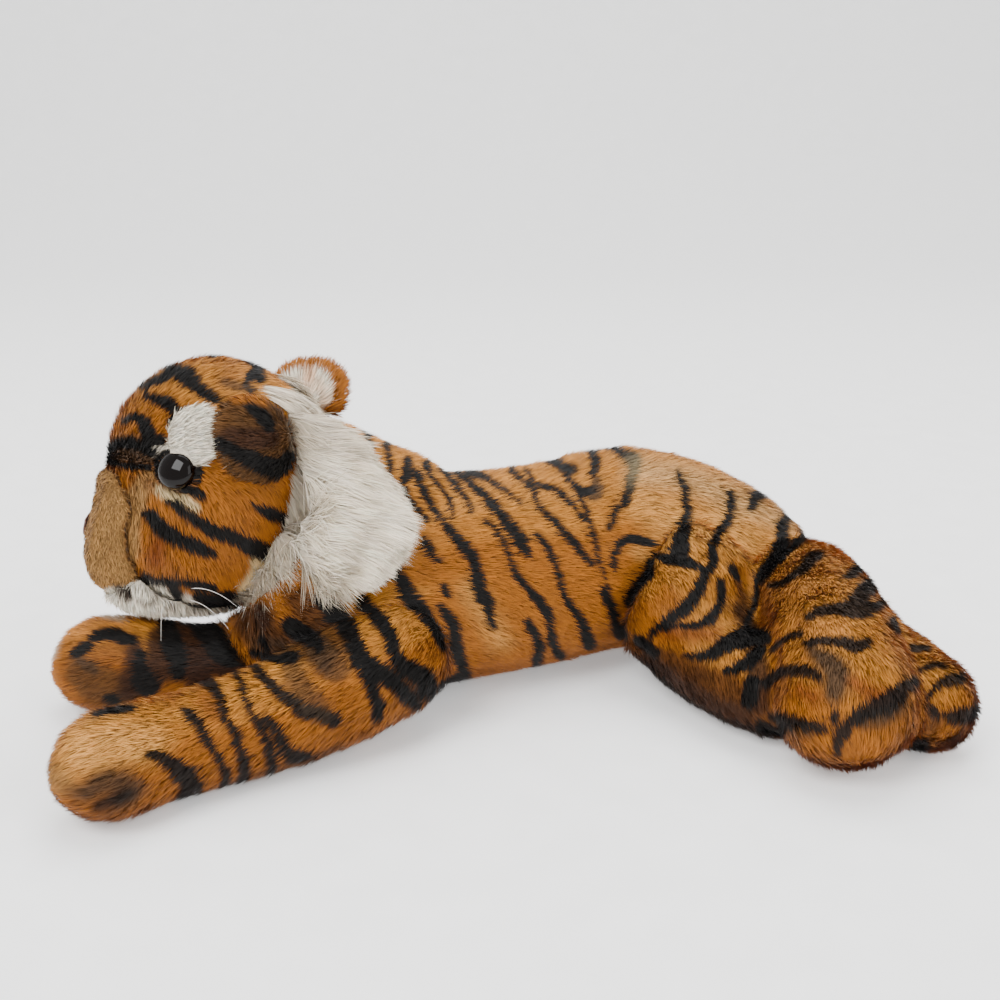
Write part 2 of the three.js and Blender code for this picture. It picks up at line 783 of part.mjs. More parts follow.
function addHead() {
  const toChest = chest.clone().sub(skullCentre).applyMatrix4(new THREE.Matrix4().extractRotation(intoHead));
  const way = toChest.clone().normalize();
  const neckHole = cylinderAlong(way, way.clone().multiplyScalar(skullLength), neckHoleRadius, cutOverrun, 20);
  const shell = headForm(0).subtract(insideHead(plushThickness)).subtract(solidOf(neckHole));
  const cover = without(shell, [...eyeCutters(1), ...eyeCutters(-1)]);
  add(head, 'head_cover', cover, cloth(colours.orange));
  const filling = insideHead(plushThickness + stuffingGap);
  add(head, 'head_stuffing', without(filling, [washerPocket(1, 0), washerPocket(-1, 0)]), cloth(colours.filling));
  add(head, 'muzzle_bridge', bridgeForm(0).subtract(headForm(seamGap)), cloth(colours.tan));
  const chin = without(chinForm(0), [headForm(seamGap), bridgeForm(seamGap)]);
  add(head, 'muzzle_chin', largest(chin), cloth(colours.white));
  add(head, 'nose', noseForm().subtract(bridgeForm(seamGap)), gloss(colours.black));
}

function addFace(side, word) {
  add(head, `eye_${word}`, eyeSolid(side), gloss(colours.eye));
  add(head, `eye_washer_${word}`, washerSolid(side), cloth(colours.plastic));
  const brow = without(browPatch(side), eyeCutters(side));
  add(head, `brow_patch_${word}`, brow, cloth(colours.white));
  whiskers.forEach((whisker, number) => {
    const hair = sided(solidOf(whiskerForm(whisker)), side);
    const cutters = [chinForm(seamGap), headForm(seamGap), bridgeForm(seamGap)];
    add(head, `whisker_${word}_${number + 1}`, without(hair, cutters), gloss(colours.white));
  });
}

function addRuffAndEar(side, word) {
  const { root, flap, lining, reach } = earPieces(ears[word]);
  add(head, `ear_${word}`, flap, cloth(colours.deepOrange), root);
  add(head, `ear_lining_${word}`, lining, cloth(colours.liningPink), root);
  const cutters = [headForm(seamGap), torsoReach, reach, chinForm(seamGap)];
  const form = side > 0 ? ruffForm() : mirrored(ruffForm()).rotateY(radians(-ruffHang));
  const ruff = without(solidOf(form), cutters);
  add(head, `ruff_${word}`, largest(ruff), cloth(colours.white));
}

addTorso();
addLimbs();
addHead();
for (const [side, word] of [[1, 'left'], [-1, 'right']]) {
  addFace(side, word);
  addRuffAndEar(side, word);
}

// The origin lies in the middle of the footprint
const box = new THREE.Box3().setFromObject(tiger);
tiger.position.set(-(box.min.x + box.max.x) / 2, -(box.min.y + box.max.y) / 2, 0);

export default tiger;
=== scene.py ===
import math

import bmesh
import bpy
import numpy as np
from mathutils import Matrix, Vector
from mathutils.bvhtree import BVHTree
from mathutils.kdtree import KDTree


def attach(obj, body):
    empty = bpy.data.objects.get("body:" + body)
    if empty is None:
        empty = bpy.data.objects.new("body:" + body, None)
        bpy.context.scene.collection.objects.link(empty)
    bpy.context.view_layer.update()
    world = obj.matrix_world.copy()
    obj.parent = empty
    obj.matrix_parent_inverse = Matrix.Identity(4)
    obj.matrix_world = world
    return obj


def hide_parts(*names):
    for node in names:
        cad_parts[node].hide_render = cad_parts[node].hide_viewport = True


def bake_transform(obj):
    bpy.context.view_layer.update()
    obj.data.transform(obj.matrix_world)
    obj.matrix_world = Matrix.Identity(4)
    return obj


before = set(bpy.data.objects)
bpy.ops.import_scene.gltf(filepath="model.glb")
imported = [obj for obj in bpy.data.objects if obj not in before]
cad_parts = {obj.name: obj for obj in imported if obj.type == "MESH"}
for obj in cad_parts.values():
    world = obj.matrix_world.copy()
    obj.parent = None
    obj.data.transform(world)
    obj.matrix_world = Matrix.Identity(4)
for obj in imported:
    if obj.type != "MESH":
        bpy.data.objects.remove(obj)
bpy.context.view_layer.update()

MM = 0.001


def link(name, data):
    piece = bpy.data.objects.new(name, data)
    bpy.context.collection.objects.link(piece)
    return piece


# Camera: the place and the angle from which the toy was photographed, in millimetres and degrees
cameraPlace = np.array([-3.377, -663.757, 317.225]) * MM
cameraTurn = 0.2177
cameraTilt = 17.438
cameraLens = 47.376
sensorWidth = 36.0
photoSide = 1000
# The nearest and farthest that it sees, in metres
cameraNear, cameraFar = 0.05, 20


def camera_ways():
    """The photograph's ways to the right, up and ahead."""
    turn, tilt = math.radians(cameraTurn), math.radians(cameraTilt)
    right = np.array([math.cos(turn), -math.sin(turn), 0.0])
    ahead = np.array([math.sin(turn) * math.cos(tilt), math.cos(turn) * math.cos(tilt), -math.sin(tilt)])
    return right, np.cross(right, ahead), ahead


def photo_place(points):
    """Where each point, in metres, lies in the photograph, in its pixels."""
    right, up, ahead = camera_ways()
    way = points - cameraPlace
    depth = way @ ahead
    focus = cameraLens / sensorWidth * photoSide
    across = photoSide / 2 + focus * (way @ right) / depth
    down = photoSide / 2 - focus * (way @ up) / depth
    return np.stack([across, down], axis=1)


def add_camera():
    data = bpy.data.cameras.new("photo_camera")
    data.lens = cameraLens
    data.sensor_width = sensorWidth
    data.clip_start, data.clip_end = cameraNear, cameraFar
    camera = link("photo_camera", data)
    camera.location = cameraPlace
    camera.rotation_euler = (math.radians(90 - cameraTilt), 0, math.radians(-cameraTurn))
    bpy.context.scene.camera = camera


add_camera()

# Colours


def linear(code):
    """An sRGB hex colour as linear red, green and blue."""
    shares = np.array([int(code[place:place + 2], 16) for place in (0, 2, 4)]) / 255
    return np.where(shares <= 0.04045, shares / 12.92, ((shares + 0.055) / 1.055) ** 2.4)


# The pile's dyes and airbrush colours. "shade" is a dark brown for painted shade; "deep" and "ash" also
# serve as painted shade near the floor, and "deep" on the cheek
dyes_and_painted_shade = {name: linear(code) for name, code in {
    "orange": "A05E17",
    "tan": "BC7C2E",
    "deep": "80470F",
    "peach": "C07D36",
    "pale": "D59A4E",
    "rust": "743306",
    "black": "0F0C0A",
    "smoke": "3A2D20",
    "brown": "351C0B",
    "umber": "573818",
    "white": "F1E5D0",
    "ash": "B5A48C",
    "cream": "D8BE8C",
    "bridge": "A07643",
    "pink": "DDB795",
    # painted shade: laid under the thigh, on the chest under the head and on the far front leg
    "shade": "2A1408",
}.items()}

# Marks on the pile: colour, softness of the edge in pixels, strength, and lines whose points are
# "across down half-width" in the photograph's pixels. They are laid straight through the toy, so
# that each stripe goes on over the outline on to the side that isn't shown. Most are print and
# airbrushing; the shade marks and some brown, deep and smoke marks are painted shade, noted where
# they stand.
marks = {
    "torso": [
        ("pale", 30, 0.6, [
            "640 500 12, 665 515 20, 700 530 16",
            "720 520 14, 745 540 16",
            "470 590 8, 500 640 8",
        ]),
        ("smoke", 5, 0.85, ["596 482 5, 597 491 6, 592 495 5", "560 464 4, 572 468 3"]),
        ("black", 3, 1.0, [
            "360 414 2, 366 428 3, 371 446 2.5",
            "386 443 1.5, 390 462 2, 389 480 1.8",
            "408 462 3.5, 406 481 3.5, 407 496 3, 419 511 2, 428 521 1.5",
            "415 470 3, 422 485 3, 430 502 3, 440 516 3.5, 455 536 4, 470 549 5, 476 562 5.5, "
            "479 583 5.5, 487 603 5, 494 628 2.5",
            "426 464 3, 432 478 3, 440 487 1.2, 451 502 1.5, 454 517 1",
            "442 468 2.5, 455 483 2.5, 463 496 1.8, 474 511 1",
            "455 470 2, 470 483 3, 485 496 4.5, 500 513 4.5, 511 526 6, 521 541 5.5, 530 556 2",
            "468 472 2.5, 485 477 2.5, 498 484 2, 508 490 1, 521 502 1",
            "487 519 1.5, 496 529 1.5, 504 543 1.5, 513 562 2.5, 519 577 3, 530 592 3.5, 545 607 5, "
            "550 622 3.5, 553 641 3.5, 560 655 4",
            "511 469 2, 521 479 1.8, 534 490 1.8, 538 502 1.8, 551 517 1.8, 564 532 2.2, 577 546 2.5, "
            "592 564 1.5",
            "526 470 1.5, 538 484 1.5, 553 488 2.5, 564 498 2, 577 513 1.5, 588 522 1.2",
            "536 534 1.5, 548 547 2.5, 558 568 2.5, 564 590 2.5, 575 609 3, 583 626 4.5, 590 643 5.5",
            "549 460 2, 562 466 4, 574 469 3",
            "566 474 2, 577 494 1.8, 585 509 1.5, 591 526 1.5, 599 553 1.5",
            "588 446 4, 596 457 4, 593 472 3.5",
            "602 445 1.5, 619 451 3, 634 460 6, 634 472 5, 630 490 4, 626 504 3",
            "619 508 2.5, 609 528 2",
            "528 620 2.5, 534 632 3.5, 540 647 4.5, 536 664 4",
            "603 590 2.5, 609 605 3, 615 622 3.5, 620 635 4",
            "588 512 0.5, 592 530 0.5, 600 560 0.5, 612 600 0.8, 627 640 0.8",
            "574 486 3, 582 492 4, 592 490 3",
        ]),
    ],
    "rump": [
        ("rust", 16, 0.7, ["665 634 4, 690 634 6, 715 634 5"]),
        ("cream", 30, 0.35, ["640 470 12, 690 480 12, 740 500 12, 790 522 8"]),
        # painted shade: brown and shade marks under the thigh, along its bottom edge on the floor, and in the
        # crease before the foot
        ("brown", 18, 0.75, ["660 660 12, 690 676 14, 720 690 16, 748 704 12"]),
        ("shade", 20, 0.85, ["640 662 8, 664 684 12, 700 704 12, 740 722 12, 766 736 10"]),
        ("shade", 12, 0.85, ["740 610 5, 750 632 8, 756 656 10, 760 684 10, 764 708 8"]),
        ("brown", 22, 0.6, ["650 665 8, 680 680 8, 700 674 6", "745 600 6, 735 615 4"]),
        ("pale", 16, 0.5, ["640 552 6, 655 560 5"]),
        ("black", 3, 1.0, [
            "678 472 1.5, 683 482 2.5, 687 496 3, 688 512 3.5, 686 525 5, 682 540 7, 680 552 8, 676 560 5",
            "657 556 2.5, 668 560 4, 684 561 5, 696 566 3, 705 570 3",
            "730 494 3, 731 506 3.5, 731 516 3.5, 724 526 4, 717 537 4, 714 550 4, 713 562 4, "
            "706 574 4, 702 586 5, 694 598 6, 684 609 6, 672 618 4, 660 628 3, 652 636 2.5",
            "733 570 4, 737 577 3.5",
            "766 489 4, 757 498 5, 751 506 3.5",
            "792 512 4, 784 524 5, 783 540 6, 777 553 5, 768 567 5, 760 580 4",
            "808 522 4, 812 530 5, 800 540 3, 790 550 2.5, 780 560 2",
            "758 584 1.6, 756 600 1.8, 750 615 2, 746 630 3",
            "616 569 1.5, 616 556 2.5, 621 544 3, 632 539 3.5, 645 541 3, 655 543 2.5",
            "650 561 2, 649 573 5, 640 584 4.5, 632 593 4, 627 604 3",
            "720 583 2, 722 600 3, 716 612 3.5, 710 620 5, 698 625 3, 680 626 2, 666 630 2",
            "764 638 6, 750 637 8, 735 641 9, 722 648 8, 712 655 6, 698 656 3.5, 684 656 1.5",
            "760 650 5, 751 661 6, 740 669 5, 726 673 2.5",
            "640 641 5, 648 648 5, 656 655 3",
            "752 682 6, 750 700 8",
        ]),
    ],
    "hind_foot": [
        ("peach", 18, 0.6, [
            "776 590 8, 800 582 10, 826 578 8",
            "800 626 8, 842 630 8",
            "880 640 6, 892 662 6",
        ]),
        ("smoke", 14, 0.9, [
            "812 650 5, 826 662 10, 838 676 12, 834 694 9",
            "862 722 8, 885 716 8, 905 708 4",
            "784 728 4, 806 732 5",
        ]),
        ("rust", 16, 0.75, ["856 684 6, 872 694 8, 890 694 6", "800 690 5, 815 700 6"]),
        ("black", 3.5, 0.96, [
            "822 555 2, 813 558 5, 805 568 3.5, 795 575 2.5, 784 583 2, 770 586 1.5",
            "859 565 3.5, 856 572 4, 846 577 2",
            "874 582 6, 866 591 8, 860 600 8, 848 607 7, 834 609 5, 820 612 3.5, 808 618 2",
            "888 599 3, 878 606 4, 866 611 6, 852 612 5",
            "893 622 4, 898 631 2.5",
            "802 634 1.5, 790 637 2, 780 643 1.5, 772 650 1.5",
            "806 644 2, 818 641 3, 830 641 3.5, 845 643 5, 858 646 5, 869 644 4.5",
            "766 684 5, 774 677 4.5, 786 673 4.5, 800 672 4.5, 812 675 4, 820 681 3",
            "914 683 5, 904 691 8, 893 701 10, 880 708 9, 866 714 7, 852 722 6, 842 732 5",
            "774 718 4, 790 723 5, 806 727 5, 824 731 4",
            "835 714 3, 833 722 2.5",
            "836 754 2.5, 838 742 4, 845 732 6, 851 721 4",
            "762 727 5, 782 733 3",
        ]),
    ],
    "far_foot": [
        ("brown", 18, 0.6, ["915 738 8, 935 722 6", "960 748 8"]),
        ("black", 3.5, 0.96, [
            "901 653 2.5, 915 649 3.5, 928 648 2",
            "913 676 1.5, 925 669 2, 935 666 2, 945 668 1.5",
            "960 680 5, 948 682 5, 938 688 3, 928 696 3, 921 702 3",
            "976 712 5, 962 717 8, 947 717 4",
            "918 704 4, 930 711 4, 938 717 3",
            "912 742 5, 922 746 6",
            "880 640 4, 893 660 4",
        ]),
    ],
    "near_front": [
        ("pale", 34, 0.8, ["80 750 22, 110 745 22, 150 745 14", "60 775 12"]),
        ("rust", 22, 0.6, ["205 700 12, 215 715 8", "170 700 6"]),
        ("smoke", 18, 0.85, ["84 792 9, 104 782 12, 130 788 12, 118 802 8"]),
        ("smoke", 14, 0.5, ["50 764 5, 58 778 7, 68 790 7"]),
        ("black", 10, 0.85, ["96 806 3, 112 800 5, 128 795 4"]),
        ("black", 4, 1.0, ["92 716 2, 104 712 3, 118 709 3, 132 708 2"]),
        # the first brown line is airbrushing at the toes; the second is painted shade along the leg's underside
        # on the floor
        ("brown", 16, 0.7, ["100 808 5, 108 811 4", "230 794 4, 300 766 4, 340 753 5"]),
        ("black", 3.5, 0.98, [
            "148 753 3, 158 757 5, 168 763 7, 178 770 9, 186 778 11, 190 790 12, 188 803 11, 184 816 10",
            "182 710 2.5, 190 716 4.5, 198 725 4.5, 204 738 4, 212 750 4, 220 762 3.5, 225 773 4, "
            "226 785 4, 222 795 3",
            "206 679 6, 214 687 5, 219 700 3, 224 716 2.5, 231 728 3.5, 235 739 4.5, 238 751 3.5, "
            "243 762 4.5, 245 772 4.5, 240 783 3",
            "232 668 2, 240 683 2.5, 246 700 2.5, 252 715 2.5, 258 726 3.5, 264 738 5, 269 752 5, "
            "272 765 4, 270 776 2",
            "247 661 3, 260 674 4, 274 688 4.5, 286 700 5, 300 712 6, 318 716 6, 334 722 6",
            "264 722 3, 276 731 4, 282 745 5, 290 756 6, 302 757 4, 310 756 2.5",
        ]),
    ],
    "shoulder": [
        # the shade mark is painted shade; the brown and smoke marks are partly airbrushing and partly painted
        # shade, where the chest lies under the head and ruff
        ("brown", 16, 0.8, [
            "300 600 12, 322 622 18, 340 640 14",
            "404 672 10, 424 690 12",
            "240 606 8, 246 630 10, 262 618 12",
        ]),
        ("shade", 14, 0.75, ["262 612 8, 274 636 10, 300 640 14, 322 662 12"]),
        ("smoke", 12, 0.7, [
            "318 650 12, 335 668 14",
            "290 668 10, 302 692 12, 318 712 12",
            "255 644 6, 280 648 8",
        ]),
        ("black", 3, 1.0, [
            "392 562 4, 398 575 6, 404 588 7, 412 600 8, 422 610 7, 430 622 5, 437 636 4, 443 650 2.5",
            "362 600 5, 373 613 7, 385 627 7, 391 642 6, 393 655 6, 402 666 8, 414 672 9, 426 682 9, "
            "428 694 8",
            "322 598 6, 335 612 9, 345 625 9, 352 640 9, 358 655 9, 367 668 10, 382 676 9, 396 686 8, "
            "408 697 8, 414 705 6",
            "290 625 7, 300 632 9, 312 640 8, 318 648 5",
            "365 675 6, 371 690 5, 376 705 5, 377 718 4.5",
            "253 653 3, 266 657 4, 280 660 5, 292 658 6",
            "262 640 2.5, 268 648 3",
            "445 585 2.5, 448 595 2.5",
            "442 608 2.5, 448 616 4, 455 626 5, 455 640 5, 458 655 5.5, 463 668 6, 464 676 5, "
            "450 682 4, 441 689 2.5",
            "425 541 3, 433 552 3.5, 440 558 2.5",
            "457 540 4, 468 550 5, 475 562 6, 478 580 6, 480 600 5",
        ]),
    ],
    "far_front": [
        ("deep", 24, 0.6, ["66 650 16, 84 664 18, 110 660 18"]),
        ("umber", 12, 0.85, ["76 672 12, 96 684 18, 118 692 16"]),
        ("peach", 8, 0.9, ["64 632 8, 84 624 9, 106 626 9, 122 632 6"]),
        ("ash", 6, 0.7, ["55 640 3, 52 655 3", "108 612 5, 120 616 5"]),
        # the brown marks are partly the leg's dark airbrushing and partly painted shade; the shade marks are
        # painted shade where the head shadows the far leg
        ("brown", 10, 0.95, ["132 640 6, 134 665 10, 128 690 10", "158 640 12, 160 672 12"]),
        ("shade", 10, 0.97, [
            "188 632 14, 196 655 16, 200 680 14",
            "215 660 12, 235 672 14, 258 690 20, 300 700 30",
        ]),
        ("smoke", 6, 0.7, ["72 656 3, 82 664 4, 94 672 3"]),
        ("black", 3, 1.0, [
            "72 655 3, 80 650 5, 88 645 4",
            "90 638 3, 100 634 5, 112 634 6, 122 638 6, 131 640 4",
            "108 699 4, 114 699 4",
            "139 655 5, 140 672 9, 146 685 11, 154 686 6",
            "166 626 8, 171 645 10, 177 662 8, 178 675 6",
            "200 626 10, 212 638 12, 222 652 11, 232 660 6",
        ]),
    ],
    "head": [
        # painted shade: a deeper orange over the cheek
        ("deep", 34, 0.5, ["190 510 12, 225 565 14, 250 520 14"]),
        ("bridge", 9, 0.97, ["150 480 7, 140 492 9, 133 510 10, 130 530 9, 129 550 9, 127 572 7"]),
        ("deep", 26, 0.5, ["232 372 10, 226 384 8", "160 560 12, 175 572 8"]),
        ("rust", 12, 0.35, ["150 484 5, 158 490 4"]),
        ("rust", 14, 0.7, ["158 545 6, 154 560 6"]),
        ("smoke", 6, 0.9, ["110 457 8, 124 448 12, 138 450 12, 150 458 5"]),
        ("cream", 7, 0.9, [
            "160 492 4, 172 497 4, 186 502 4, 196 508 2.5",
            "262 560 7, 255 578 6, 245 592 5",
        ]),
        ("white", 6, 1.0, [
            "205 412 6, 204 430 14, 200 446 15, 190 452 12, 174 452 9, 158 450 6",
            "112 604 14, 150 606 18, 190 612 14, 240 612 12",
            "140 588 5, 160 592 6",
        ]),
        ("smoke", 5, 0.7, ["163 484 2.5, 172 489 3, 182 488 3, 190 484 2"]),
        ("brown", 6, 0.8, ["196 606 4, 208 608 4"]),
        ("black", 2.6, 1.0, [
            "143 385 2, 155 380 3, 167 376 5",
            "168 368 3, 175 370 6, 185 375 8, 195 381 7, 203 389 6, 212 396 5, 219 400 4",
            "147 392 2, 157 398 4.5, 168 403 5.5, 177 409 5.5, 176 416 4, 170 422 2",
            "125 419 2, 135 416 4, 144 421 5, 148 430 6, 152 438 6, 162 440 5",
            "212 355 2, 225 350 4, 238 351 5, 250 358 5, 258 368 5, 262 378 4",
            "252 374 4, 248 384 3, 254 392 3",
            "106 455 2.5, 114 446 3.5, 128 442 4.5, 142 446 4.5, 153 452 4",
            "108 463 2.5, 120 466 2.5, 134 467 2.5, 148 468 3",
            "181 488 2, 190 491 3.5, 198 495 3.5, 205 499 1.5",
            "157 462 2.5, 164 455 3, 176 454 3, 188 460 2.5, 196 471 2.5, 191 480 2, 178 485 1.5, "
            "165 481 2, 158 472 2.5, 157 462 2.5",
            "167 503 2, 175 506 3.5, 185 514 4, 195 520 4.5, 203 524 5, 213 532 6, 225 536 6, "
            "238 541 6, 250 547 7, 262 553 7, 272 552 3",
            "146 514 3, 152 517 5, 158 525 7, 168 534 8, 180 541 7, 192 547 7, 205 552 5, 215 555 2.5",
            "257 507 2, 265 511 3.5, 275 516 5, 285 520 5, 290 528 4, 285 535 2",
            "143 577 2, 152 581 3, 165 583 3.5, 178 583 3, 190 584 3, 200 586 4, 213 588 3",
            "173 590 4, 178 596 4",
            "196 597 3, 210 600 5, 225 601 8, 236 602 6",
            "126 594 4, 128 597 3",
        ]),
        ("smoke", 4, 0.75, [
            "157 598 1, 160 598 1",
            "168 609 1, 172 610 1",
            "119 588 2, 122 594 3, 128 600 2",
            "138 602 0.5, 146 606 1, 156 604 0.5",
        ]),
        ("smoke", 6, 0.7, ["226 381 3, 240 386 4, 254 389 3"]),
    ],
    "near_ear": [
        ("orange", 7, 0.95, ["234 398 5, 242 396 6, 252 398 5, 262 402 4"]),
        # painted shade: the brown where the flap curves under; the black band below it is partly a stripe and
        # partly painted shade
        ("brown", 10, 0.9, ["228 436 8, 250 440 10, 270 438 9"]),
        ("ash", 6, 0.5, ["290 420 2, 294 440 2, 294 458 2"]),
        ("black", 4, 1.0, [
            "218 444 5, 232 452 6, 250 460 8, 265 466 9, 280 468 10, 289 460 7",
            "247 406 3, 254 410 5, 262 418 6, 268 426 5",
        ]),
    ],
    "far_ear": [
        ("orange", 6, 0.95, [
            "274 369 4, 290 361 5, 306 359 5, 322 362 5, 336 372 6, 346 388 7, 350 402 7, 348 414 7",
        ]),
        ("pink", 8, 0.6, ["300 384 6, 318 384 5, 328 398 4"]),
        ("white", 8, 0.9, ["262 392 5, 285 398 10, 302 406 10"]),
        ("black", 4, 0.9, ["262 370 3, 270 361 4, 280 358 3"]),
    ],
}

# Helpers for forms and colours

rng = np.random.default_rng(20)
latticeSide = 32
lattice = rng.random((latticeSide, latticeSide, latticeSide, 3)) * 2 - 1


def drift(points, size):
    """Smooth seeded random vectors that change over about this many metres."""
    place = points / size
    cell = np.floor(place).astype(int)
    part = place - cell
    part = part * part * (3 - 2 * part)
    total = np.zeros((len(points), 3))
    for corner in np.ndindex(2, 2, 2):
        share = np.prod(np.where(corner, part, 1 - part), axis=1)
        x, y, z = ((cell + corner) % latticeSide).T
        total += share[:, None] * lattice[x, y, z]
    return total


def ramp(values, low, high):
    """0 below low, 1 above high, smooth between."""
    share = np.clip((values - low) / (high - low), 0, 1)
    return share * share * (3 - 2 * share)


def unit(vectors):
    return vectors / np.maximum(np.linalg.norm(vectors, axis=-1, keepdims=True), 1e-9)


def smooth_line(points, steps=4):
    """A smooth curve through the points, as short straight pieces."""
    line = np.asarray(points, float)
    if len(line) < 3:
        return line
    padded = np.vstack([2 * line[0] - line[1], line, 2 * line[-1] - line[-2]])
    out = []
    for a, b, c, d in zip(padded, padded[1:], padded[2:], padded[3:]):
        for share in np.arange(steps) / steps:
            out.append(0.5 * (2 * b + (c - a) * share + (2 * a - 5 * b + 4 * c - d) * share ** 2
                              + (3 * b - a - 3 * c + d) * share ** 3))
    out.append(line[-1])
    return np.array(out)


def line_of(text):
    """A mark's line from its text. A single point becomes a dash one pixel long."""
    points = [[float(value) for value in point.split()] for point in text.split(",")]
    if len(points) == 1:
        points.append([points[0][0] + 1, *points[0][1:]])
    return smooth_line(points)


def covered(places, line, edge, swell=1.7):
    """1 where a mark's line, swollen a little, covers a place in the photograph, 0 outside."""
    reach = line[:, 2].max() + edge
    near = ((places > line[:, :2].min(0) - reach) & (places < line[:, :2].max(0) + reach)).all(1)
    out = np.zeros(len(places))
    if not near.any():
        return out
    start, run = line[:-1], np.diff(line, axis=0)
    way = places[near][:, None, :] - start[None, :, :2]
    share = (way * run[None, :, :2]).sum(2) / np.maximum((run[:, :2] ** 2).sum(1), 1e-9)
    share = np.clip(share, 0, 1)
    off = way - share[..., None] * run[None, :, :2]
    gap = np.hypot(off[..., 0], off[..., 1]) - (start[:, 2] + share * run[:, 2])
    out[near] = ramp(swell - gap.min(1), -edge / 2, edge / 2)
    return out


# How far the print wanders off its lines, in pixels, and over how many metres that changes
printWander = ((1.6, 0.011), (0.9, 0.004))


def mark(colour, points, regions, ragged):
    """Lays the regions' marks, print, airbrushing and painted shade, over the colours of these points."""
    places = photo_place(points)
    places += sum(far * drift(points, size)[:, :2] for far, size in printWander)
    places += rng.normal(0, ragged, places.shape)
    for region in regions:
        for name, edge, strength, lines in marks[region]:
            share = np.zeros(len(points))
            for text in lines:
                share = np.maximum(share, covered(places, line_of(text), edge))
            share = (share * strength)[:, None]
            colour = colour * (1 - share) + dyes_and_painted_shade[name] * share
    return colour


# Where things lie, in millimetres

skullPlace = np.array([-148.9, -1.8, 125.5]) * MM
headTurn = math.radians(3)
headAhead = np.array([-math.cos(headTurn), -math.sin(headTurn), 0])
headLeft = np.array([math.sin(headTurn), -math.cos(headTurn), 0])
headUp = np.array([0, 0, 1.0])


def in_head(points):
    """Points as ahead, left and up of the skull's centre, in metres."""
    way = points - skullPlace
    return np.stack([way @ headAhead, way @ headLeft, way @ headUp], axis=-1)


# The middle lines of torso, legs and tail, each from where its pile starts
middles = {
    "torso": [(-139, -39, 60), (-87, -12, 58), (-34, 19, 58), (0, 32, 57), (34, 50, 57), (71, 67, 58),
              (107, 66, 55), (135, 51, 49), (175, 27, 42)],
    "front_leg_left": [(-32, -26, 49), (-71, -61, 39), (-103, -85, 29), (-149, -111, 25), (-176, -133, 26),
                       (-199, -149, 24)],
    "front_leg_right": [(-79, -4, 38), (-121, -24, 27), (-157, -29, 24), (-200, -23, 25), (-237, -21, 23)],
    "hind_leg_left": [(140, 55, 54), (150, 20, 50), (160, -20, 48), (166, -57, 42), (165, -90, 34),
                      (165, -123, 26)],
    "hind_leg_right": [(137, 51, 41), (167, 12, 38), (191, -24, 31), (208, -60, 26), (212, -98, 25)],
    "tail": [(154, 50, 35), (143, 96, 21), (105, 134, 10), (38, 151, 10), (-25, 134, 10), (-56, 117, 10)],
}
middles = {name: smooth_line(np.array(line) * MM, 6) for name, line in middles.items()}


def along_line(points, line):
    """For each point the direction of the line next to it and how far along it lies, in metres."""
    start, run = line[:-1], np.diff(line, axis=0)
    length = np.linalg.norm(run, axis=1)
    way = points[:, None, :] - start
    share = np.clip((way * run).sum(2) / length ** 2, 0, 1)
    gap = np.linalg.norm(way - share[..., None] * run, axis=2)
    evenedOver = 12 * MM
    closeness = np.exp(-((gap - gap.min(1, keepdims=True)) / evenedOver) ** 2)
    closeness /= closeness.sum(1, keepdims=True)
    travelled = np.concatenate([[0], np.cumsum(length)[:-1]]) + share * length
    return unit(closeness @ (run / length[:, None])), (closeness * travelled).sum(1)


# Cloth skins


def read(items, name, width, kind=float):
    """One value of each of a mesh's items, as rows of this width."""
    values = np.empty(len(items) * width, kind)
    items.foreach_get(name, values)
    return values.reshape(-1, width)


def places_of(mesh):
    return read(mesh.vertices, "co", 3)


def normals_of(mesh):
    return read(mesh.vertices, "normal", 3)


def triangles_of(mesh):
    mesh.calc_loop_triangles()
    return read(mesh.loop_triangles, "vertices", 3, int)


def set_places(mesh, place):
    mesh.vertices.foreach_set("co", place.astype(np.float32).ravel())
    mesh.update()


def shade_smooth(mesh):
    mesh.polygons.foreach_set("use_smooth", [True] * len(mesh.polygons))


def cad_mesh(*nodes):
    """The corners and faces of some CAD nodes together."""
    corners, faces, count = [], [], 0
    for name in nodes:
        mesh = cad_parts[name].data
        corners.append(places_of(mesh))
        faces.append(triangles_of(mesh) + count)
        count += len(corners[-1])
    return np.vstack(corners), np.vstack(faces).tolist()


def link_mesh(name, corners, faces):
    mesh = bpy.data.meshes.new(name)
    mesh.from_pydata(np.asarray(corners).tolist(), [], faces)
    mesh.update()
    shade_smooth(mesh)
    return link(name, mesh)


def tree_of(corners, faces):
    return BVHTree.FromPolygons(corners.tolist(), faces)


def skin_tree(skin):
    return tree_of(places_of(skin.data), [list(face.vertices) for face in skin.data.polygons])


def keep_largest(mesh):
    """Leaves only the outermost closed form of a mesh."""
    form = bmesh.new()
    form.from_mesh(mesh)
    form.verts.ensure_lookup_table()
    left, best, width = set(form.verts), [], 0
    while left:
        group, edge = [], [left.pop()]
        while edge:
            corner = edge.pop()
            group.append(corner)
            for side in corner.link_edges:
                other = side.other_vert(corner)
                if other in left:
                    left.remove(other)
                    edge.append(other)
        across = np.ptp(np.array([corner.co for corner in group]), axis=0).sum()
        if across > width:
            best, width = group, across
    kept = set(best)
    bmesh.ops.delete(form, geom=[corner for corner in form.verts if corner not in kept], context="VERTS")
    form.to_mesh(mesh)
    form.free()


# Each point moves in towards its neighbours' middle, and then out by a little more than that
relaxSteps = (0.5, -0.52)


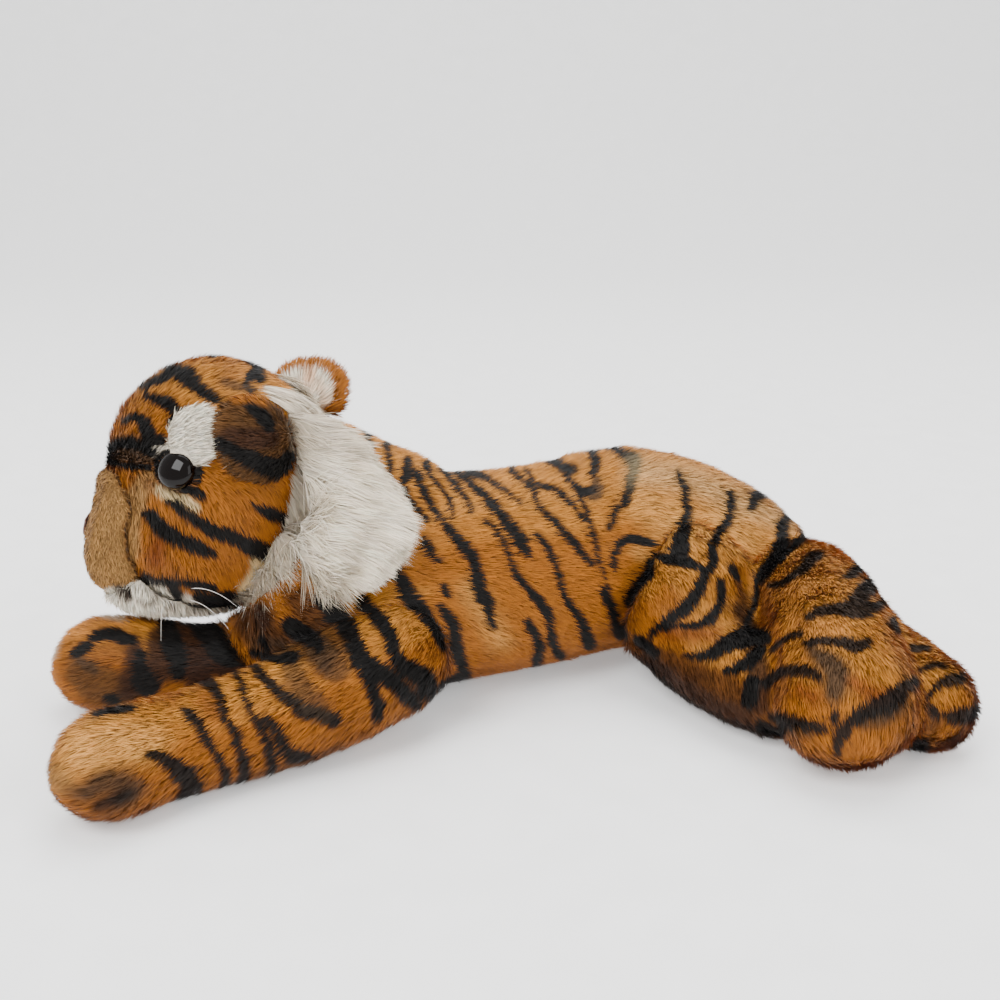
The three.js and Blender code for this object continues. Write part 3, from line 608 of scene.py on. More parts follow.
def relax(mesh, rounds):
    """Evens a mesh out without shrinking it."""
    edges = read(mesh.edges, "vertices", 2, int)
    place = places_of(mesh)
    count = np.bincount(edges.ravel(), minlength=len(place))[:, None]
    for step in relaxSteps * rounds:
        total = np.zeros_like(place)
        for axis in range(3):
            total[:, axis] += np.bincount(edges[:, 0], place[edges[:, 1], axis], len(place))
            total[:, axis] += np.bincount(edges[:, 1], place[edges[:, 0], axis], len(place))
        place = place + step * (total / np.maximum(count, 1) - place)
    set_places(mesh, place)


# At a seam the cloth rises out of its full depth between these distances from the piece beside it,
# and tucks into that piece by so much, in millimetres
seamStart, seamEnd, seamTuck, tuckEnd = 1, 9, 1.5, 5
clothFloor = 0.6


def cloth_skin(name, nodes, voxel, depth, rounds=8, beside=()):
    """The cloth of a stuffed piece, which stands for its CAD solids: these as one even mesh, drawn in
    to where the pile is rooted. Where it is sewn to the pieces beside it, it tucks into them."""
    raw = link_mesh(name + "_raw", *cad_mesh(*nodes))
    remesh = raw.modifiers.new("even", "REMESH")
    remesh.mode = "VOXEL"
    remesh.voxel_size = voxel * MM
    mesh = bpy.data.meshes.new_from_object(raw.evaluated_get(bpy.context.evaluated_depsgraph_get()))
    bpy.data.objects.remove(raw)
    keep_largest(mesh)
    relax(mesh, rounds)
    place, normal = places_of(mesh), normals_of(mesh)
    inward = np.full(len(place), depth * MM)
    if beside:
        tree = tree_of(*cad_mesh(*beside))
        gap = np.array([tree.find_nearest(point)[3] for point in place.tolist()])
        inward = (depth * MM * ramp(gap, seamStart * MM, seamEnd * MM)
                  - seamTuck * MM * (1 - ramp(gap, 0, tuckEnd * MM)))
    place = place - normal * inward[:, None]
    place[:, 2] = np.maximum(place[:, 2], clothFloor * MM)
    set_places(mesh, place)
    relax(mesh, 2)
    shade_smooth(mesh)
    mesh.name = name
    skin = link(name, mesh)
    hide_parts(*nodes)
    return skin


def colour_corners(mesh, colours):
    layer = mesh.color_attributes.new("dyes_and_painted_shade", "FLOAT_COLOR", "POINT")
    colours = np.hstack([colours, np.ones((len(colours), 1))])
    layer.data.foreach_set("color", colours.astype(np.float32).ravel())


# Pile


def roots_on(skin, count):
    """Seeded random places on a skin, with the skin's normals there."""
    corner = triangles_of(skin.data)
    place, normal = places_of(skin.data), normals_of(skin.data)
    a, b, c = (place[corner[:, side]] for side in range(3))
    area = np.linalg.norm(np.cross(b - a, c - a), axis=1)
    pick = rng.choice(len(corner), count, p=area / area.sum())
    one, two = rng.random(count), rng.random(count)
    flip = one + two > 1
    one[flip], two[flip] = 1 - one[flip], 1 - two[flip]
    shares = np.stack([1 - one - two, one, two], axis=1)[..., None]
    return (place[corner[pick]] * shares).sum(1), unit((normal[corner[pick]] * shares).sum(1))


def within(tree, point):
    """True where a ray from the point crosses the closed form an odd number of times."""
    way, place, crossed = Vector((0.31, 0.22, 0.92)).normalized(), Vector(point), 0
    mostCrossings, pastFace = 30, 1e-5
    while crossed < mostCrossings:
        place = tree.ray_cast(place, way)[0]
        if place is None:
            break
        crossed += 1
        place = place + way * pastFace
    return crossed % 2 == 1


def outside(points, trees):
    """True for the points that lie in none of these closed forms, or only just under their faces."""
    searched, deepest = 0.05, 0.0012
    keep = np.ones(len(points), bool)
    for tree in trees:
        for index, point in enumerate(points.tolist()):
            near, normal, _, gap = tree.find_nearest(point, searched)
            if near is not None and gap > deepest and (Vector(point) - near).dot(normal) < 0:
                keep[index] &= not within(tree, point)
    return keep


# Over how many metres the pile's swirl and lift drift, and by what share the lift does
swirlSize, liftSize, liftDrift = 0.012, 0.009, 0.3
# From fibre to fibre: the spread of its lift, least and most lift in degrees, shortest and longest
# as shares of the length, weakest pull to its clump's middle, and the spread of its roll
liftSpread, leastLift, mostLift = 0.16, 3, 75
shortest, longest, leastPull, rollSpread = 0.75, 1.1, 0.3, 0.4
# Spread of brightness from clump to clump and fibre to fibre, spread of hue, and the darkest and
# brightest that any fibre is
clumpTint, fibreTint, hueTint, darkest, brightest = 0.07, 0.07, 0.015, 0.002, 0.95
# No fibre reaches lower than this above the floor, in millimetres
pileFloor = 0.4
# The widths along a strand, as shares of its full width
strandWidths = (0.85, 1.0, 0.85, 0.7, 0.5, 0.4)
# How far along a fibre its colour is taken from the print, and how far its shading normal turns
# from the skin's towards its own
printedAt, skinLean = 0.7, 0.5


def strands(name, roots, normals, ways, paint, length, width, lift, sag=0.12, spread=7, swirl=14,
            clump=0.22, clumpSize=30, sections=2, droop=0.0, tipShare=1.18, rootShare=0.45):
    """Tapered flat fibres, each from its root along its way, as one mesh. Lengths and widths are
    millimetres, lift, spread and swirl degrees. Sag bends a fibre to its skin and droop to the
    floor. Fibres lean to a clump's middle one, and are as bright as the shares at root and tip."""
    count = len(roots)
    ways = unit(ways - (ways * normals).sum(1, keepdims=True) * normals)
    side = np.cross(normals, ways)
    turn = np.radians(swirl) * drift(roots, swirlSize)[:, 0] + np.radians(spread) * rng.normal(0, 1, count)
    ways = ways * np.cos(turn)[:, None] + side * np.sin(turn)[:, None]
    side = np.cross(normals, ways)
    lifts = lift * (1 + liftDrift * drift(roots, liftSize)[:, 1]) * rng.normal(1, liftSpread, count)
    lifts = np.radians(np.clip(lifts, leastLift, mostLift))
    length = np.broadcast_to(length, count) * MM * rng.uniform(shortest, longest, count)
    rise = ways * np.cos(lifts)[:, None] + normals * np.sin(lifts)[:, None]
    steps = np.arange(sections + 1) / sections
    spine = roots[:, None] + length[:, None, None] * (
        rise[:, None] * steps[None, :, None]
        - normals[:, None] * (sag * steps ** 2)[None, :, None]
        - headUp * (droop * steps ** 2)[None, :, None])

    # Clumps
    heads = rng.choice(count, max(count // clumpSize, 1), replace=False)
    finder = KDTree(len(heads))
    for index, head in enumerate(heads.tolist()):
        finder.insert(roots[head], index)
    finder.balance()
    lock = np.array([finder.find(point)[1] for point in roots.tolist()])
    pull = (spine[heads[lock], -1] - spine[:, -1]) * (clump * rng.uniform(leastPull, 1, count))[:, None]
    spine += pull[:, None] * (steps ** 2)[None, :, None]
    spine[..., 2] = np.maximum(spine[..., 2], pileFloor * MM)

    # Two corners at each step and one at the tip
    roll = rng.normal(0, rollSpread, count)
    across = (side * np.cos(roll)[:, None] + normals * np.sin(roll)[:, None])[:, None]
    profile = np.array(strandWidths)[:sections] / 2
    half = across * (np.broadcast_to(width, count) * MM)[:, None, None] * profile[None, :, None]
    body = np.stack([spine[:, :-1] - half, spine[:, :-1] + half], axis=2).reshape(count, -1, 3)
    corners = np.concatenate([body, spine[:, -1:]], axis=1)
    size = 2 * sections + 1
    pattern, starts = [], []
    for step in range(sections - 1):
        starts.append(len(pattern))
        pattern += [2 * step + 1, 2 * step, 2 * step + 2, 2 * step + 3]
    starts.append(len(pattern))
    pattern += [size - 2, size - 3, size - 1]
    loops = (np.arange(count)[:, None] * size + pattern).ravel()
    begins = (np.arange(count)[:, None] * len(pattern) + starts).ravel()
    mesh = bpy.data.meshes.new(name)
    mesh.vertices.add(count * size)
    mesh.vertices.foreach_set("co", corners.astype(np.float32).ravel())
    mesh.loops.add(len(loops))
    mesh.loops.foreach_set("vertex_index", loops.astype(np.int32))
    mesh.polygons.add(len(begins))
    mesh.polygons.foreach_set("loop_start", begins.astype(np.int32))
    shade_smooth(mesh)
    mesh.update(calc_edges=True)

    # Each fibre has the print's colour near its tip, and differs a little from its neighbours
    # Painted shade and light along each fibre: darker at the root, deep in the pile, and paler at the tip
    shade = np.interp(steps, [0, 0.5, 1], [rootShare, 0.95, tipShare])
    tint = paint(spine[:, 0] * (1 - printedAt) + spine[:, -1] * printedAt, normals)
    tint = tint * rng.normal(1, clumpTint, (len(heads), 1))[lock] * rng.normal(1, fibreTint, (count, 1))
    tint = tint * rng.normal(1, hueTint, (count, 3))
    colour = np.repeat(tint[:, None] * shade[None, :-1, None], 2, axis=1)
    colour = np.concatenate([colour, tint[:, None] * shade[-1]], axis=1).reshape(-1, 3)
    colour_corners(mesh, np.clip(colour, darkest, brightest))
    lean = unit(np.cross(np.cross(rise, normals), rise) * skinLean + normals)
    mesh.normals_split_custom_set_from_vertices(np.repeat(lean, size, axis=0).tolist())
    return link(name, mesh)


def area_of(mesh):
    """A mesh's area in square millimetres."""
    return read(mesh.polygons, "area", 1)[:, 0].sum() / MM ** 2


# The two layers of short pile: dense fine blades, and fewer longer curved fibres over them, as
# fibres on each square millimetre, share of the pile's length, width, lift and sections
pileLayers = {
    "dense": (1.55, 0.86, 0.52, 34, 1),
    "guard": (0.6, 1.08, 0.46, 28, 2),
}
# The export thins a piece of more than 200,000 triangles, so no pile has more than this
mostTriangles = 195000


def short_pile(name, skin, comb, paint, length, keep):
    """The pile of one skin, layer by layer."""
    piles = []
    for layer, (thick, share, width, lift, sections) in pileLayers.items():
        count = int(area_of(skin.data) * thick * (1))
        each = 2 * sections - 1
        for part in range(math.ceil(count * each / mostTriangles)):
            roots, normals = roots_on(skin, min(count, mostTriangles // each))
            count -= len(roots)
            if keep:
                kept = keep(roots)
                roots, normals = roots[kept], normals[kept]
            piles.append(strands(
                "_".join([name, layer, "pile", str(part + 1)]), roots, normals, comb(roots, normals), paint,
                share * (length(roots) if callable(length) else length),
                width * (1), lift, sections=sections))
    return piles


# Materials


def node(tree, kind, settings=None, links=None):
    """Adds a node, sets its values, and links the sockets named in links to other nodes' outputs."""
    added = tree.nodes.new(kind)
    for name, value in (settings or {}).items():
        if name in added.inputs:
            added.inputs[name].default_value = value
        else:
            setattr(added, name, value)
    for name, output in (links or {}).items():
        tree.links.new(output, added.inputs[name])
    return added


def new_material(name):
    """A material, its node tree and the place on the piece, in metres."""
    material = bpy.data.materials.new(name)
    material.use_nodes = True
    tree = material.node_tree
    tree.nodes.clear()
    return material, tree, node(tree, "ShaderNodeTexCoord").outputs["Object"]


def close(tree, settings, links):
    shader = node(tree, "ShaderNodeBsdfPrincipled", settings, links)
    node(tree, "ShaderNodeOutputMaterial", links={"Surface": shader.outputs[0]})


def pile_material(name, roughness, sheen):
    """Polyester pile in dyes and airbrushing, with painted shade in its colours, brushed one way. Each fibre is
    smooth, so the coat shines a little along its grain, and its tips catch the light as a pale bloom."""
    material, tree, place = new_material(name)
    colour_with_painted_shade = node(tree, "ShaderNodeVertexColor", {"layer_name": "dyes_and_painted_shade"})
    patchy = node(tree, "ShaderNodeTexNoise", {"Scale": 90.0, "Detail": 3.0}, {"Vector": place})
    bright = node(tree, "ShaderNodeMapRange", {"To Min": 0.86, "To Max": 1.12}, {
        "Value": patchy.outputs["Fac"]})
    colour = node(tree, "ShaderNodeVectorMath", {"operation": "SCALE"}, {
        0: colour_with_painted_shade.outputs["Color"], "Scale": bright.outputs["Result"]})
    close(tree, {
        "Roughness": roughness, "IOR": 1.5, "Specular IOR Level": 0.2, "Sheen Weight": sheen,
        "Sheen Roughness": 0.4}, {"Base Color": colour.outputs["Vector"]})
    return material


def cloth_material():
    """Knitted polyester backing cloth under the pile: matt, with fine ribs, and darker than the pile as painted
    shade under the fibres.
    """
    material, tree, place = new_material("knitted_polyester_backing")
    colour_with_painted_shade = node(tree, "ShaderNodeVertexColor", {"layer_name": "dyes_and_painted_shade"})
    ribs = node(tree, "ShaderNodeTexVoronoi", {"Scale": 900.0}, {"Vector": place}).outputs["Distance"]
    # partly the ribs' texture, mostly painted shade: the cloth's colour is darkened to 0.45 to 0.75
    depth = node(tree, "ShaderNodeMapRange", {"To Min": 0.45, "To Max": 0.75}, {"Value": ribs})
    colour = node(tree, "ShaderNodeVectorMath", {"operation": "SCALE"}, {
        0: colour_with_painted_shade.outputs["Color"], "Scale": depth.outputs["Result"]})
    bump = node(tree, "ShaderNodeBump", {"Strength": 0.6, "Distance": 0.0006}, {"Height": ribs})
    close(tree, {"Roughness": 0.9, "Specular IOR Level": 0.15}, {
        "Base Color": colour.outputs["Vector"], "Normal": bump.outputs["Normal"]})
    return material


def plain_material(name, code, roughness, grain, grainDepth, **settings):
    """A moulded, spun or pressed stuff of one colour, with the slight unevenness of its surface."""
    material, tree, place = new_material(name)
    uneven = node(tree, "ShaderNodeTexNoise", {
        "Scale": grain, "Detail": 4.0}, {"Vector": place}).outputs["Fac"]
    low, high = linear(code) * 0.9, np.minimum(linear(code) * 1.1, 1)
    mix = node(tree, "ShaderNodeMix", {
        "data_type": "RGBA", "A": (*low, 1), "B": (*high, 1)}, {"Factor": uneven})
    bump = node(tree, "ShaderNodeBump", {"Strength": 0.3, "Distance": grainDepth * MM}, {"Height": uneven})
    rough = node(tree, "ShaderNodeMapRange", {
        "To Min": roughness * 0.85, "To Max": roughness * 1.15}, {"Value": uneven})
    close(tree, settings, {
        "Base Color": mix.outputs[2], "Normal": bump.outputs["Normal"], "Roughness": rough.outputs["Result"]})
    return material


pileFinish = pile_material("polyester_pile", 0.6, 0.06)
shortPileFinish = pile_material("short_dense_velour_pile", 0.8, 0.1)
longPileFinish = pile_material("long_white_polyester_hair", 0.5, 0.1)
clothFinish = cloth_material()
# Acrylic safety eye, polished: almost black brown with sharp reflections
eyeFinish = plain_material("polished_acrylic_eye", "070302", 0.05, 300.0, 0.01, **{
    "IOR": 1.49, "Specular IOR Level": 0.2})
# Moulded plastic nose: dull pinkish brown with a fine flocked grain
noseFinish = plain_material("moulded_nose", "5A3A32", 0.5, 1500.0, 0.1, IOR=1.46)
# Natural polyethylene lock washer: milky and waxy
washerFinish = plain_material("natural_polyethylene", "E8E8E3", 0.4, 400.0, 0.05, IOR=1.51)
# Nylon monofilament: clear white hair with a soft shine
whiskerFinish = plain_material("nylon_monofilament", "F2EEE6", 0.35, 800.0, 0.01, IOR=1.53)
# Matt paper under and behind the toy: almost white, lit a little from within so that no edge shows
paperFinish = plain_material("pale_paper", "FBFBFA", 0.9, 40.0, 0.02, **{
    "Emission Color": (1, 1, 1, 1), "Emission Strength": 0.35})

# Coats: colour and comb of each piece


def coat(points, normals, regions, ragged, top="tan", flank="orange", low="deep", floorShadeFrom=46):
    """The colours at these points: paler on top, deeper near the floor as painted shade, with the marks."""
    cloudy = drift(points, 0.034)
    upper = ramp(normals[:, 2] + 0.18 * cloudy[:, 0], 0.35, 0.95)[:, None]
    # painted shade: the low colour laid near the floor
    lower = ramp(-points[:, 2] / MM + 8 * cloudy[:, 1], -floorShadeFrom, 0)[:, None]
    colour = dyes_and_painted_shade[flank] * (1 - upper) + dyes_and_painted_shade[top] * upper
    colour = colour * (1 - 0.7 * lower) + dyes_and_painted_shade[low] * 0.7 * lower
    warm = (0.25 * ramp(cloudy[:, 2], 0, 0.9))[:, None]
    colour = colour * (1 - warm) + dyes_and_painted_shade["peach"] * warm
    return mark(colour, points, regions, ragged)


# The head's pile is combed away from here, ahead, left and up of the skull's centre, in millimetres
combedFrom = np.array([70, 0, -12])


def head_comb(points):
    """Pile combed back from the nose, and down the cheeks."""
    place = in_head(points) / MM
    away = unit(place - combedFrom)
    down = ramp(-place[:, 2], -26, 4)[:, None]
    way = away * (1 - 0.55 * down) + np.array([0, 0, -1.0]) * 0.9 * down
    return way[:, :1] * headAhead + way[:, 1:2] * headLeft + way[:, 2:] * headUp


stuffed = {
    # piece: regions of marks, length of the pile, how far it is combed down, depth of the cloth
    "torso": (["torso", "rump", "shoulder"], 8.5, 0.35, 3.0),
    "front_leg_left": (["near_front", "shoulder"], 8, 0.15, 3.0),
    "front_leg_right": (["far_front"], 7.5, 0.15, 1.6),
    "hind_leg_left": (["torso", "rump", "hind_foot"], 8, 0.35, 3.0),
    "hind_leg_right": (["far_foot"], 7.5, 0.15, 3.0),
    "tail": ([], 6.5, 0.15, 3.0),
}
sewn = {
    # piece: what it is sewn to, where its cloth leaves that, and where it is all its own
    "torso": ("head", (-112, -24, 62), (-138, -10, 92)),
    "front_leg_left": ("torso", (-50, -38, 40), (-88, -74, 34)),
    "front_leg_right": ("torso", (-82, -10, 36), (-118, -24, 28)),
    "hind_leg_left": ("torso", (112, 42, 50), (122, 6, 46)),
    "hind_leg_right": ("torso", (138, 45, 40), (160, 18, 38)),
    "tail": ("torso", (150, 66, 30), (140, 98, 20)),
}
# The print's edges are ragged by so many pixels from fibre to fibre, and hardly on the cloth
pileRagged, clothRagged = 0.5, 0.01


def dress(piece, finish, body):
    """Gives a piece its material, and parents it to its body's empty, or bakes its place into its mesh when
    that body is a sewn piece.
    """
    piece.data.materials.append(finish)
    if body in sewn:
        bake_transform(piece)
    else:
        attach(piece, body)


def cover(name, skin, comb, paint, length, keep, finish, body):
    """Sets short pile on a skin, and prints the cloth under it."""
    for pile in short_pile(name, skin, comb, paint, length, keep):
        dress(pile, finish, body)
    colour_corners(skin.data, paint(places_of(skin.data), normals_of(skin.data), clothRagged))
    dress(skin, clothFinish, body)


def tail_rings(colour, points):
    """Dark rings round the tail, 27 mm apart, and a dark tip."""
    along = along_line(points, middles["tail"])[1] / MM
    wave = np.sin((along + 2.5 * drift(points, 0.012)[:, 0]) / 27 * 2 * math.pi)
    dark = np.maximum(ramp(wave, 0.25, 0.6), ramp(along, 222, 228))[:, None]
    return colour * (1 - dark) + dyes_and_painted_shade["black"] * dark


def dress_stuffed():
    """The torso, the legs and the tail, each in its own sewn cloth."""
    skins = {}
    for name, (_, _, _, depth) in stuffed.items():
        beside = [other + "_cover" for other in stuffed if other != name]
        nodes = [name + "_cover", name + "_stuffing"]
        skins[name] = cloth_skin(name + "_cloth", nodes, 3, depth, beside=beside)
    trees = {name: skin_tree(skin) for name, skin in skins.items()}
    for name, (regions, length, fall, _) in stuffed.items():
        others = [tree for other, tree in trees.items() if other != name]

        def keep(roots):
            return outside(roots, others) & (roots[:, 2] > 0.9 * MM)

        def comb(points, normals):
            return along_line(points, middles[name])[0] - fall * headUp

        def paint(points, normals, ragged=pileRagged):
            colours = coat(points, normals, regions, ragged)
            return tail_rings(colours, points) if name == "tail" else colours

        cover(name, skins[name], comb, paint, length, keep, pileFinish, name)


# Head


def eye_place(side):
    """The middle of an eye's rim and the way that it looks, from its CAD solid."""
    corners, _ = cad_mesh("eye_" + side)
    way = corners.mean(0) - skullPlace
    for _ in range(3):
        way = way / np.linalg.norm(way)
        order = np.argsort(corners @ way)
        ends = len(order) // 6
        way = corners[order[-ends:]].mean(0) - corners[order[:ends]].mean(0)
    way = way / np.linalg.norm(way)
    top = (corners @ way).max()
    middle = corners[order[-ends:]].mean(0)
    return middle + way * (top - middle @ way), way


def turned(profile, middle, way, sides=48):
    """A form turned about an axis, from its profile of radius and height."""
    across = unit(np.cross(way, [0.3, 0.2, 1.0]))
    other = np.cross(way, across)
    corners, faces = [], []
    for radius, height in profile:
        for step in range(sides):
            angle = 2 * math.pi * step / sides
            outward = across * math.cos(angle) + other * math.sin(angle)
            corners.append(middle + way * height + outward * radius)
    for ring in range(len(profile) - 1):
        for step in range(sides):
            following = (step + 1) % sides
            faces.append((ring * sides + step, ring * sides + following,
                          (ring + 1) * sides + following, (ring + 1) * sides + step))
    faces.append(tuple(range(sides))[::-1])
    faces.append(tuple((len(profile) - 1) * sides + step for step in range(sides)))
    return corners, faces


# Moulded eye: radius, rise of its dome, how deep its top sits below the CAD solid's, the shank
# under its rim and the softened edge there, in millimetres
eyeRadius, eyeRise, eyeSunk, eyeShank, eyeEdge, domeSteps = 9.6, 4.8, 4.0, 4.0, 1, 16


def add_eyes():
    for side in ("left", "right"):
        rim = eyeSunk + eyeRise
        profile = [(eyeRadius - eyeEdge, -rim - eyeShank), (eyeRadius, -rim - eyeShank + eyeEdge),
                   (eyeRadius, -rim)]
        for step in range(1, domeSteps):
            angle = math.pi / 2 * step / domeSteps
            profile.append((eyeRadius * math.cos(angle), eyeRise * math.sin(angle) - rim))
        profile.append((eyeRadius * 0.02, -eyeSunk))
        eye = link_mesh("eye_" + side + "_dome", *turned(np.array(profile) * MM, *eye_place(side)))
        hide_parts("eye_" + side)
        dress(eye, eyeFinish, "head")


# Whisker: radius at its root, share of it that is left at the tip, and how far it bows up
whiskerRadius, whiskerTip, whiskerBow, whiskerSteps = 0.2, 0.25, 3, 12


def add_whiskers():
    for name in ["whisker_" + side + "_" + str(number) for side in ("left", "right") for number in (1, 2, 3)]:
        corners, _ = cad_mesh(name)
        order = np.argsort(np.linalg.norm(corners - skullPlace, axis=1))
        root, tip = corners[order[:4]].mean(0), corners[order[-4:]].mean(0)
        curve = bpy.data.curves.new(name + "_hair", "CURVE")
        curve.dimensions = "3D"
        curve.bevel_depth = whiskerRadius * MM
        curve.bevel_resolution = 3
        spline = curve.splines.new("POLY")
        spline.points.add(whiskerSteps)
        for step in range(whiskerSteps + 1):
            share = step / whiskerSteps
            place = root + (tip - root) * share + headUp * whiskerBow * MM * 4 * share * (1 - share)
            spline.points[step].co = (*place, 1)
            spline.points[step].radius = 1 - (1 - whiskerTip) * share
        hair = link(name + "_hair", curve)
        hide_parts(name)
        dress(hair, whiskerFinish, "head")


# Beside the bridge the head's pile is cut shorter, towards the bridge's own, by this share of
# its length, which fades out over so many pixels
bridgeEdge = "150 478 9, 138 494 12, 132 512 13, 130 535 13, 128 560 12, 126 580 10"
bridgeTrim, bridgeSoft = 0.25, 12
# The bridge's short pile strays from its comb by this share, all ways
bridgeStray = 0.8
headPanels = {
    # panel: CAD nodes, voxel, depth and rounds of evening of its cloth, pieces beside it, length
    # of its pile, slot and material
    "head": (["head_cover", "head_stuffing"], 2.4, 3.0, 6, [], 7.5, "plush_orange", pileFinish),
    "muzzle_bridge": (["muzzle_bridge"], 2, 1.4, 4, ["head_cover"], 3.4, "plush_tan", shortPileFinish),
    "muzzle_chin": (["muzzle_chin"], 2, 0.8, 4, [], 7, "plush_white", pileFinish),
    "brow_patch_left": (["brow_patch_left"], 1.1, 0.6, 3, [], 6, "plush_white", pileFinish),
    "brow_patch_right": (["brow_patch_right"], 1.1, 0.6, 3, [], 6, "plush_white", pileFinish),
}
# No pile stands on the eye: so far from its axis, within so far of its top, in millimetres
eyeHole, eyeReach = 9.4, 20
# The hair of the lids grows between these distances from that axis, out of so many places tried
lidInner, lidOuter, lidTries = 9.3, 13.5, 100000
# Its length and width in millimetres, and its lift in degrees
lidLength, lidWidth, lidLift = 7.5, 0.45, 50


def head_coat(name, points, normals, ragged):
    """The colours of one of the head's panels, with their print and the painted shade on the cheek."""
    if name.startswith("brow"):
        return np.repeat(dyes_and_painted_shade["white"][None], len(points), 0)
    if name == "head":
        return coat(points, normals, ["head"], ragged, floorShadeFrom=40)
    base = dyes_and_painted_shade["white"] * 0.93 if name == "muzzle_chin" else dyes_and_painted_shade["bridge"]
    return mark(np.repeat(base[None], len(points), 0), points, ["head"], ragged)


def dress_head():
    """The head's panels with their pile. Gives the head's own skin back, for the tufts."""
    skins = {name: cloth_skin(name + "_cloth", nodes, voxel, depth, rounds, beside)
             for name, (nodes, voxel, depth, rounds, beside, *_) in headPanels.items()}
    trees = {name: skin_tree(skin) for name, skin in skins.items()}
    eyes = [eye_place(side) for side in ("left", "right")]
    for name, (*_, length, slotName, finish) in headPanels.items():
        others = [tree for other, tree in trees.items() if other != name]

        def keep(roots):
            kept = outside(roots, others)
            for top, way in eyes:
                off = roots - top
                beside = np.linalg.norm(off - (off @ way)[:, None] * way, axis=1)
                kept &= (beside > eyeHole * MM) | (np.linalg.norm(off, axis=1) > eyeReach * MM)
            return kept

        def comb(roots, normals):
            stray = bridgeStray if name == "muzzle_bridge" else 0
            ways = head_comb(roots)
            return ways + unit(rng.normal(0, 1, ways.shape)) * stray

        def paint(points, normals, ragged=pileRagged):
            return head_coat(name, points, normals, ragged)

        def trimmed(roots):
            return length * (1 - bridgeTrim * covered(photo_place(roots), line_of(bridgeEdge), bridgeSoft))

        cover(name, skins[name], comb, paint, trimmed if name == "head" else length, keep, finish,
              "head")
    for name in ("head", "muzzle_bridge", "muzzle_chin"):
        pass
    add_lids(skins["head"], eyes)
    return skins["head"]


def add_lids(skin, eyes):
    """Short hair round each eye that reaches over its rim."""
    for side, (top, way) in zip(("left", "right"), eyes):
        roots, normals = roots_on(skin, lidTries)
        off = roots - top
        inward = (off @ way)[:, None] * way - off
        beside = np.linalg.norm(inward, axis=1)
        keep = ((beside > lidInner * MM) & (beside < lidOuter * MM)
                & (np.linalg.norm(off, axis=1) < eyeReach * MM))
        lids = strands("eye_lid_" + side, roots[keep], normals[keep], unit(inward[keep]),
                       lambda points, normals: head_coat("head", points, normals, pileRagged),
                       lidLength, lidWidth, lidLift, sections=3, sag=0.15)
        dress(lids, pileFinish, "head")


def add_nose_and_washers():
    nose = cloth_skin("nose_form", ["nose"], 0.8, 0.0, rounds=3)
    dress(nose, noseFinish, "head")
    for side in ("left", "right"):
        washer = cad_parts["eye_washer_" + side]
        washer.data.materials.clear()
        washer.data.materials.append(washerFinish)


# Ears and ruff

ears = {
    # side: its region of marks, and its colours on top and below
    "left": ("near_ear", "umber", "umber"),
    "right": ("far_ear", "orange", "deep"),
}
# An ear's root is the middle of so many of its points, those nearest to the skull
earRootPoints = 30


def dress_ears():
    for side, (region, upper, lower) in ears.items():
        for name, length, slotName in (("ear_" + side, 7, "plush_deep_orange"),
                                       ("ear_lining_" + side, 9, "ear_lining")):
            panel = cloth_skin(name + "_cloth", [name], 1.3, 0.9, rounds=3)
            places = places_of(panel.data)
            root = places[np.argsort(np.linalg.norm(places - skullPlace, axis=1))[:earRootPoints]].mean(0)

            def comb(roots, normals):
                return unit(roots - root) * 0.8 + unit(places.mean(0) - root) * 0.6

            def paint(points, normals, ragged=pileRagged):
                if slotName == "ear_lining":
                    cloudy = ramp(drift(points, 0.008)[:, :1], -0.3, 0.5)
                    pale = dyes_and_painted_shade["pink"] * cloudy + dyes_and_painted_shade["white"] * (1 - cloudy)
                    return mark(pale, points, ["far_ear"], ragged) if side == "right" else pale
                return coat(points, normals, [region], ragged, top=upper, flank=lower, low=lower)

            cover(name, panel, comb, paint, length, None, pileFinish, "ear_flap_" + side)


# The ruff's roots behind the left cheek, ahead, left and up of the skull's centre, and the way
# that the long hair leads from each, all in millimetres. The right ruff hangs lower by some degrees
ruffRoots = [(-37, 25, 38), (-42, 32, 20), (-44, 38, 3), (-41, 44, -15), (-33, 48, -35), (-16, 47, -51)]
ruffLeads = [(-28, -7, -7), (-46, 4, -9), (-58, 12, -15), (-54, 18, -13), (-40, 25, -7), (-22, 22, -4)]
ruffHang = 14
ruffHairs = 39000
# A ruff's hair is rooted up to the first of these shares of its lead, and its tips reach to about
# the second. Shortest and longest length of that hair in millimetres, and its lift in degrees
ruffRooted, ruffReach, ruffShortest, ruffLongest, ruffLift = 0.9, 1.06, 7, 34, 12
hairWidth = 0.42
longHair = {"rootShare": 0.75, "tipShare": 1.03}


def ruff_line(line, side):
    """The left ruff's line as it is, or mirrored and hung lower for the right one."""
    line = smooth_line(np.array(line, float), 6) * MM
    if side == "right":
        turn = math.radians(-ruffHang)
        ahead, left, up = line.T
        line = np.stack([ahead * math.cos(turn) + up * math.sin(turn), -left,
                         up * math.cos(turn) - ahead * math.sin(turn)], axis=1)
    return line


def ruff_paint(points, normals):
    """White hair in locks, greyer at the crown, and yellower and darker towards the floor as painted shade."""
    height = points[:, 2] / MM
    # painted shade: ash towards the floor
    low = 0.6 * ramp(-height, -96, -50)[:, None]
    grey = np.maximum(0.45 * ramp(height, 136, 150)[:, None],
                      0.35 * ramp(drift(points, 0.005)[:, :1], 0.1, 0.9))
    colour = dyes_and_painted_shade["white"] * (1 - grey) + dyes_and_painted_shade["ash"] * grey
    return colour * (1 - low) + dyes_and_painted_shade["ash"] * low


